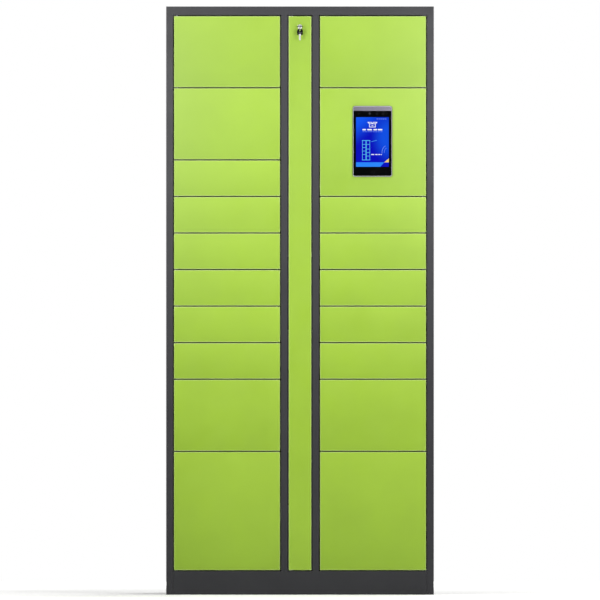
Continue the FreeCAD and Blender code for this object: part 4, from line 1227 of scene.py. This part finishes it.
@dataclass
class Terminal:
    """The operator terminal: case, rim, black glass, sensors and the display's generic graphics."""

    body: str = "door_right_02"
    corner: float = 8 * MM
    chamfer: float = 2.6 * MM
    cooling_slots: int = 9
    cooling_pitch: float = 5 * MM
    screw_across: float = 50 * MM
    screw_inset: float = 14 * MM
    sensor_row: float = 26.5 * MM
    card_row: float = 15 * MM
    rim_proud: float = 0.3 * MM
    rim_side: float = 1.3 * MM
    rim_depth: float = 2.4 * MM
    glass_corner: float = 4.5 * MM
    side_margin: float = 11.3 * MM
    top_margin: float = 38.5 * MM
    bottom_margin: float = 34 * MM
    line: float = 1.5 * MM
    layer: float = 0.06 * MM

    def build(self) -> None:
        """Dress the case and glass, and add the display and the sensors."""
        self.low, self.high = box_corners("terminal_case")
        self.glass_low, self.glass_high = box_corners("terminal_glass")
        self.x = (self.low.x + self.high.x) / 2
        self.front = self.low.y
        dress("terminal_case", Surface.ANODISED)
        self.glass()
        self.bright_rim()
        self.display()
        self.sensors()
        self.rear()
        log.info("terminal dressed")

    def glass(self) -> None:
        """Replace the glass with one that has round lower corners and a ground edge."""
        width = self.glass_high.x - self.glass_low.x
        height = self.glass_high.z - self.glass_low.z
        outline = moved(rounded(width, height, self.glass_corner), self.x,
                        (self.glass_low.z + self.glass_high.z) / 2)
        shape = bmesh.new()
        plate(shape, outline, self.front, self.glass_high.y - self.front, edge=0.4 * MM)
        made = piece("terminal_front_glass", shape, Surface.BLACK_GLASS, self.body,
                     smooth=True)
        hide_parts("terminal_glass")

    def bright_rim(self) -> None:
        """Run a polished chamfer round the case."""
        shape = bmesh.new()
        width, height = self.high.x - self.low.x, self.high.z - self.low.z
        outer, inner = (moved(rounded(width - 2 * inset, height - 2 * inset, self.corner - inset, 8),
                              self.x, (self.low.z + self.high.z) / 2)
                        for inset in (0, self.chamfer))
        front = self.front - self.rim_proud
        rings = [[shape.verts.new((u, y, v)) for u, v in points]
                 for points, y in ((outer, front + self.rim_depth), (outer, front + self.rim_side),
                                   (inner, front), (inner, front + self.rim_depth))]
        bridge(shape, rings, closed=True)
        piece("terminal_bright_rim", shape, Surface.BRIGHT_RIM, self.body, smooth=True)

    def graphic(self, name: str, outlines: list[Outline], surface: Surface, layer: int) -> None:
        """Lay a lit shape on the display.

        Args:
            name: the piece's name.
            outlines: its parts, each an outline about the display's middle.
            surface: its finish.
            layer: how many layers in front of the glass it lies.
        """
        shape = bmesh.new()
        for outline in outlines:
            plate(shape, moved(outline, self.x, self.screen_z), self.front - layer * self.layer, self.layer)
        piece(name, shape, surface, self.body)

    def display(self) -> None:
        """Light the display: a blue ground, a parcel, rows of tiles, an outlined locker and a lower bar."""
        left, right = self.low.x + self.side_margin, self.high.x - self.side_margin
        bottom, top = self.low.z + self.bottom_margin, self.high.z - self.top_margin
        self.width, self.height = right - left, top - bottom
        self.screen_z = (bottom + top) / 2
        width, height = self.width, self.height
        self.graphic("display_ground", [rounded(width, height, 0.6 * MM, 2)], Surface.DISPLAY, 1)
        self.graphic("display_lower_bar", [self.lower_bar()], Surface.AZURE_GRAPHIC, 2)
        self.graphic("display_corner", [[(width * 0.36, -height * 0.41), (width * 0.5, -height * 0.41),
                                         (width * 0.5, -height * 0.33)]], Surface.GOLD_GRAPHIC, 2)
        header = [moved(rounded(5.5 * MM, 2.2 * MM, 1 * MM, 3), width * 0.15 + step * 7 * MM, height * 0.465)
                  for step in range(5)]
        self.graphic("display_header", header, Surface.PALE_GRAPHIC, 2)
        self.graphic("display_parcel", self.parcel(), Surface.WHITE_GRAPHIC, 2)
        tiles = [moved(rounded(w * MM, 4.6 * MM, 1.6 * MM, 3), u * MM, 42 * MM)
                 for u, w in ((-28, 12), (-9.5, 16), (9.5, 12.5), (26, 15.5))]
        tiles += [moved(rounded(w * MM, 2.8 * MM, 1.2 * MM, 3), u * MM, -42.5 * MM)
                  for u, w in ((1, 11), (13.5, 8.5), (23, 6.5), (30, 3.5))]
        self.graphic("display_rows", tiles, Surface.WHITE_GRAPHIC, 2)
        notes = [moved(rounded(7 * MM, 1.6 * MM, 0.7 * MM, 3), (step * 8.6 - 30) * MM, 35 * MM)
                 for step in range(8)]
        self.graphic("display_notes", notes, Surface.PALE_GRAPHIC, 2)
        self.graphic("display_locker", self.locker(), Surface.CYAN_GRAPHIC, 2)
        self.graphic("display_arcs", self.arcs(), Surface.PALE_GRAPHIC, 2)

    def lower_bar(self) -> Outline:
        """Return the bar along the foot of the display, cut off at a slant.

        Returns:
            The outline.
        """
        width, height = self.width, self.height
        return [(-width / 2, -height / 2), (width * 0.24, -height / 2), (width * 0.36, -height * 0.41),
                (-width / 2, -height * 0.41)]

    def bar(self, start: Point, end: Point, thickness: float) -> Outline:
        """Return a straight line of some thickness as an outline.

        Args:
            start: one end of the line.
            end: its other end.
            thickness: how thick it is.

        Returns:
            The outline.
        """
        along = Vector((end[0] - start[0], end[1] - start[1]))
        side = Vector((-along.y, along.x)).normalized() * thickness / 2
        return [(start[0] - side.x, start[1] - side.y), (end[0] - side.x, end[1] - side.y),
                (end[0] + side.x, end[1] + side.y), (start[0] + side.x, start[1] + side.y)]

    def parcel(self) -> list[Outline]:
        """Return an open carton seen from the front, drawn in thick lines.

        Returns:
            The outlines of its lines.
        """
        half, flap, tip, top, foot, thick = 10 * MM, 16 * MM, 7.5 * MM, 2.5 * MM, -8.5 * MM, 2 * MM
        slot, slot_z = 3 * MM, -3.5 * MM
        runs = (((-half, top), (-half, foot)), ((-half - thick / 2, foot), (half + thick / 2, foot)),
                ((half, foot), (half, top)), ((-half, top), (half, top)), ((-half, top), (-flap, tip)),
                ((half, top), (flap, tip)), ((-flap, tip), (-slot, tip)), ((flap, tip), (slot, tip)),
                ((-slot, tip), (0, top)), ((slot, tip), (0, top)), ((-slot, slot_z), (slot, slot_z)))
        return [moved(self.bar(start, end, thick), 0, 59.5 * MM) for start, end in runs]

    def locker(self) -> list[Outline]:
        """Return a small locker drawn in outline, two columns of doors of different heights on a plinth.

        Returns:
            The outlines of its lines.
        """
        width, height = 25 * MM, 66 * MM
        left, bottom = -34 * MM, -61 * MM
        lines = []
        for share in (0, 0.46, 0.54, 1):
            x = left + width * share
            lines.append(self.bar((x, bottom), (x, bottom + height), self.line))
        for columns, shares in (((0, 0.46), (0.28, 0.46, 0.64, 0.8)), ((0.54, 1), (0.2, 0.38, 0.56, 0.8))):
            for share in shares:
                z = bottom + height * share
                start, end = (left + width * column for column in columns)
                lines.append(self.bar((start, z), (end, z), self.line))
        for share in (0, 1):
            z = bottom + height * share
            lines.append(self.bar((left - 1.5 * MM, z), (left + width + 1.5 * MM, z), self.line * 1.4))
        right = left + width
        lines.append(self.bar((right + 5 * MM, 1 * MM), (right + 24 * MM, 6 * MM), self.line * 0.7))
        return lines

    def arcs(self) -> list[Outline]:
        """Return two arcs that open to the right, low on the display.

        Returns:
            The outline of each arc.
        """
        outlines = []
        for radius in (16 * MM, 24 * MM):
            points = [(radius * math.cos(math.radians(a)), radius * math.sin(math.radians(a)))
                      for a in range(120, 200, 8)]
            inner = [(u * 0.93, v * 0.93) for u, v in reversed(points)]
            outlines.append(moved(points + inner, self.width * 0.5, -self.height * 0.2))
        return outlines

    def sensors(self) -> None:
        """Add the camera and the sensor windows above the display, and a card outline below it."""
        z = self.high.z - self.sensor_row
        lens = bmesh.new()
        profile = [(0, 3.2 * MM), (-0.25 * MM, 3.0 * MM), (-0.3 * MM, 2.4 * MM), (-0.1 * MM, 1.8 * MM)]
        turned(lens, profile, Vector((self.x - 9 * MM, self.front, z)), sides=28)
        piece("terminal_camera", lens, Surface.LENS, self.body, smooth=True)
        shape = bmesh.new()
        for across, radius in ((-46, 2.2), (16, 4.5), (36, 4.0), (48, 2.2)):
            outline = moved(disc(radius * MM, 24), self.x + across * MM, z)
            plate(shape, outline, self.front - self.layer, self.layer)
        for outline in self.card(self.low.z + self.card_row):
            plate(shape, outline, self.front - self.layer, self.layer)
        piece("terminal_windows", shape, Surface.SMOKED_PRINT, self.body)

    def card(self, z: float) -> list[Outline]:
        """Return a card with a stripe across it, drawn in outline.

        Args:
            z: the height of the card's middle.

        Returns:
            The outlines of its lines.
        """
        half_width, half_height, line = 6.5 * MM, 4 * MM, 0.8 * MM
        corners = [(-half_width, -half_height), (half_width, -half_height), (half_width, half_height),
                   (-half_width, half_height)]
        sides = [self.bar(a, b, line) for a, b in zip(corners, corners[1:] + corners[:1])]
        sides.append(self.bar((-half_width, half_height * 0.3), (half_width, half_height * 0.3), line))
        return [moved(outline, self.x + 2 * MM, z) for outline in sides]

    def rear(self) -> None:
        """Add a cover, cooling slots, a socket and corner screws to the back of the case, inside the door."""
        back = self.high.y
        shape = bmesh.new()
        for row in range(self.cooling_slots):
            z = self.high.z - 40 * MM - row * self.cooling_pitch
            outline = moved(rounded(60 * MM, 2.2 * MM, 1 * MM, 3), self.x, z)
            plate(shape, outline, back, 0.5 * MM, edge=0.15 * MM)
        outline = moved(rounded(34 * MM, 16 * MM, 2 * MM, 3), self.x, self.low.z + 40 * MM)
        plate(shape, outline, back, 6 * MM, edge=0.6 * MM)
        piece("terminal_rear_fittings", shape, Surface.GREY_PC, self.body)
        shell = bmesh.new()
        body_width, body_height = self.high.x - self.low.x - 10 * MM, self.high.z - self.low.z - 10 * MM
        outline = moved(rounded(body_width, body_height, 4 * MM), self.x, (self.low.z + self.high.z) / 2)
        plate(shell, outline, back - 2 * MM, 2.4 * MM, edge=0.8 * MM)
        piece("terminal_rear_cover", shell, Surface.GREY_PC, self.body, smooth=True)
        screws = bmesh.new()
        for side in (-1, 1):
            for z in (self.low.z + self.screw_inset, self.high.z - self.screw_inset):
                centre = Vector((self.x + side * self.screw_across, back, z))
                head = [(0, 3 * MM), (1.2 * MM, 2.8 * MM), (1.5 * MM, 1.8 * MM), (0.6 * MM, 1.2 * MM)]
                turned(screws, head, centre, sides=18)
        piece("terminal_rear_screws", screws, Surface.ZINC, self.body, smooth=True)


# ---------------------------------------------------------------- electronics in the channel

@dataclass
class Electronics:
    """The power supply, the lock controller and the slotted wiring duct in the service channel."""

    duct_width: float = 40 * MM
    duct_depth: float = 40 * MM
    duct_clearance: float = 20 * MM
    slot_pitch: float = 12.5 * MM
    slot_width: float = 5 * MM
    wall: float = 1.5 * MM

    def build(self) -> None:
        """Dress the housings and run the duct up the back panel."""
        softened("control_electronics", Surface.GREY_PC, "cabinet", width=1.5 * MM)
        self.duct()
        log.info("electronics dressed")

    def duct(self) -> None:
        """Build the slotted duct: a base, two combed sides and a lid."""
        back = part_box("back_panel")[0][1]
        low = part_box("control_electronics")[1][2] + self.duct_clearance
        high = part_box("top_panel")[0][2] - self.duct_clearance
        shape = bmesh.new()
        front = back - self.duct_depth
        half = self.duct_width / 2
        for start in (front, back - self.wall):
            plate(shape, [(-half, low), (half, low), (half, high), (-half, high)], start, self.wall,
                  edge=0.3 * MM)
        count = int((high - low) / self.slot_pitch)
        for face in (-half + self.wall, half - self.wall):
            for step in range(count):
                start = low + step * self.slot_pitch + self.slot_width / 2
                end = start + self.slot_pitch - self.slot_width
                tooth = [(front + self.wall, start), (back - self.wall, start), (back - self.wall, end),
                         (front + self.wall, end)]
                plate(shape, tooth, face, self.wall, Facing.X)
        piece("wiring_duct", shape, Surface.PALE_PVC, "cabinet")


# ---------------------------------------------------------------- studio

@dataclass(frozen=True)
class Softbox:
    """A rectangular lamp behind a diffuser; places and sizes are in metres."""

    name: str
    place: tuple[float, float, float]
    aim: tuple[float, float, float]
    width: float
    height: float
    watts: float

    def hang(self) -> None:
        """Hang it at its place, turned towards the point that it lights."""
        lamp = bpy.data.lights.new(self.name, "AREA")
        lamp.shape = "RECTANGLE"
        lamp.size = self.width
        lamp.size_y = self.height
        lamp.energy = self.watts
        made = bpy.data.objects.new(self.name, lamp)
        made.location = self.place
        made.rotation_euler = (Vector(self.aim) - Vector(self.place)).to_track_quat("-Z", "Y").to_euler()
        bpy.context.scene.collection.objects.link(made)


SOFTBOXES = (
    Softbox("side_softbox_left", (-0.92, -2.0, 1.74), (0.0, -0.25, 1.3), 0.6, 0.9, 27.0),
    Softbox("side_softbox_right", (0.92, -2.0, 1.74), (0.0, -0.25, 1.3), 0.6, 0.9, 27.0),
    Softbox("top_softbox", (0.0, -1.3, 3.4), (0.0, -0.3, 1.2), 2.4, 1.2, 12.0),
    Softbox("rear_softbox", (1.4, 3.0, 2.4), (0.0, 0.25, 1.0), 2.0, 1.6, 90.0),
)


@dataclass
class Studio:
    """The plain pale floor, the soft lights and the camera, square on to the doors."""

    view_height: float = 2.04
    eye_height: float = 1.002
    focal_length: float = 1200.0
    sensor: float = 36.0
    floor_radius: float = 3.0
    low_light: float = 0.04
    high_light: float = 0.3

    def build(self) -> None:
        """Set the floor, lights and camera."""
        self.floor()
        self.world()
        for softbox in SOFTBOXES:
            softbox.hang()
        self.camera()
        bpy.context.scene.view_settings.view_transform = "Standard"

    def floor(self) -> None:
        """Lay a round pale floor."""
        shape = bmesh.new()
        shape.faces.new([shape.verts.new((u, v, 0)) for u, v in disc(self.floor_radius, 96)])
        mesh = bpy.data.meshes.new("studio_floor")
        shape.to_mesh(mesh)
        shape.free()
        mesh.materials.append(Surface.FLOOR.material())
        made = bpy.data.objects.new("studio_floor", mesh)
        bpy.context.scene.collection.objects.link(made)

    def world(self) -> None:
        """Fill the room with white light from above, dim near the horizon, behind a plain white backdrop."""
        world = bpy.data.worlds.new("studio_world")
        bpy.context.scene.world = world
        world.use_nodes = True
        tree = world.node_tree
        backdrop = add_node(tree, "ShaderNodeBackground", {"Color": (1, 1, 1, 1), "Strength": 1.0})
        path = add_node(tree, "ShaderNodeLightPath")
        toward = add_node(tree, "ShaderNodeTexCoord")
        axes = add_node(tree, "ShaderNodeSeparateXYZ", {"Vector": toward.outputs["Generated"]})
        height = add_node(tree, "ShaderNodeMapRange", {"Value": axes.outputs["Z"], "From Min": 0.1,
                                                       "From Max": 0.7, "To Min": self.low_light,
                                                       "To Max": self.high_light},
                          interpolation_type="SMOOTHSTEP")
        fill = tree.nodes["Background"]
        fill.inputs["Color"].default_value = (1, 1, 1, 1)
        tree.links.new(height.outputs["Result"], fill.inputs["Strength"])
        mix = add_node(tree, "ShaderNodeMixShader", {0: path.outputs["Is Camera Ray"],
                                                     1: fill.outputs["Background"],
                                                     2: backdrop.outputs["Background"]})
        tree.links.new(mix.outputs["Shader"], tree.nodes["World Output"].inputs["Surface"])

    def camera(self) -> None:
        """Place a very long lens far in front, so that the doors are seen square on with no perspective."""
        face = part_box("top_panel")[0][1]
        lens = bpy.data.cameras.new("studio_camera")
        lens.lens = self.focal_length
        lens.sensor_width = self.sensor
        distance = self.view_height * self.focal_length / self.sensor
        lens.clip_end = distance * 2
        made = bpy.data.objects.new("studio_camera", lens)
        made.location = (0, face - distance, self.eye_height)
        made.rotation_euler = (math.pi / 2, 0, 0)
        bpy.context.scene.collection.objects.link(made)
        bpy.context.scene.camera = made


def main() -> None:
    """Build every sub-assembly in order."""
    logging.basicConfig(level=logging.INFO, format="%(message)s")
    Studio().build()
    Cabinet().build()
    for body in frame["bodies"]:
        if body.startswith("door_"):
            Door(body).build()
    ElectricLocks().build()
    KeyLock().build()
    Terminal().build()
    Electronics().build()


if __name__ == "__main__":
    main()
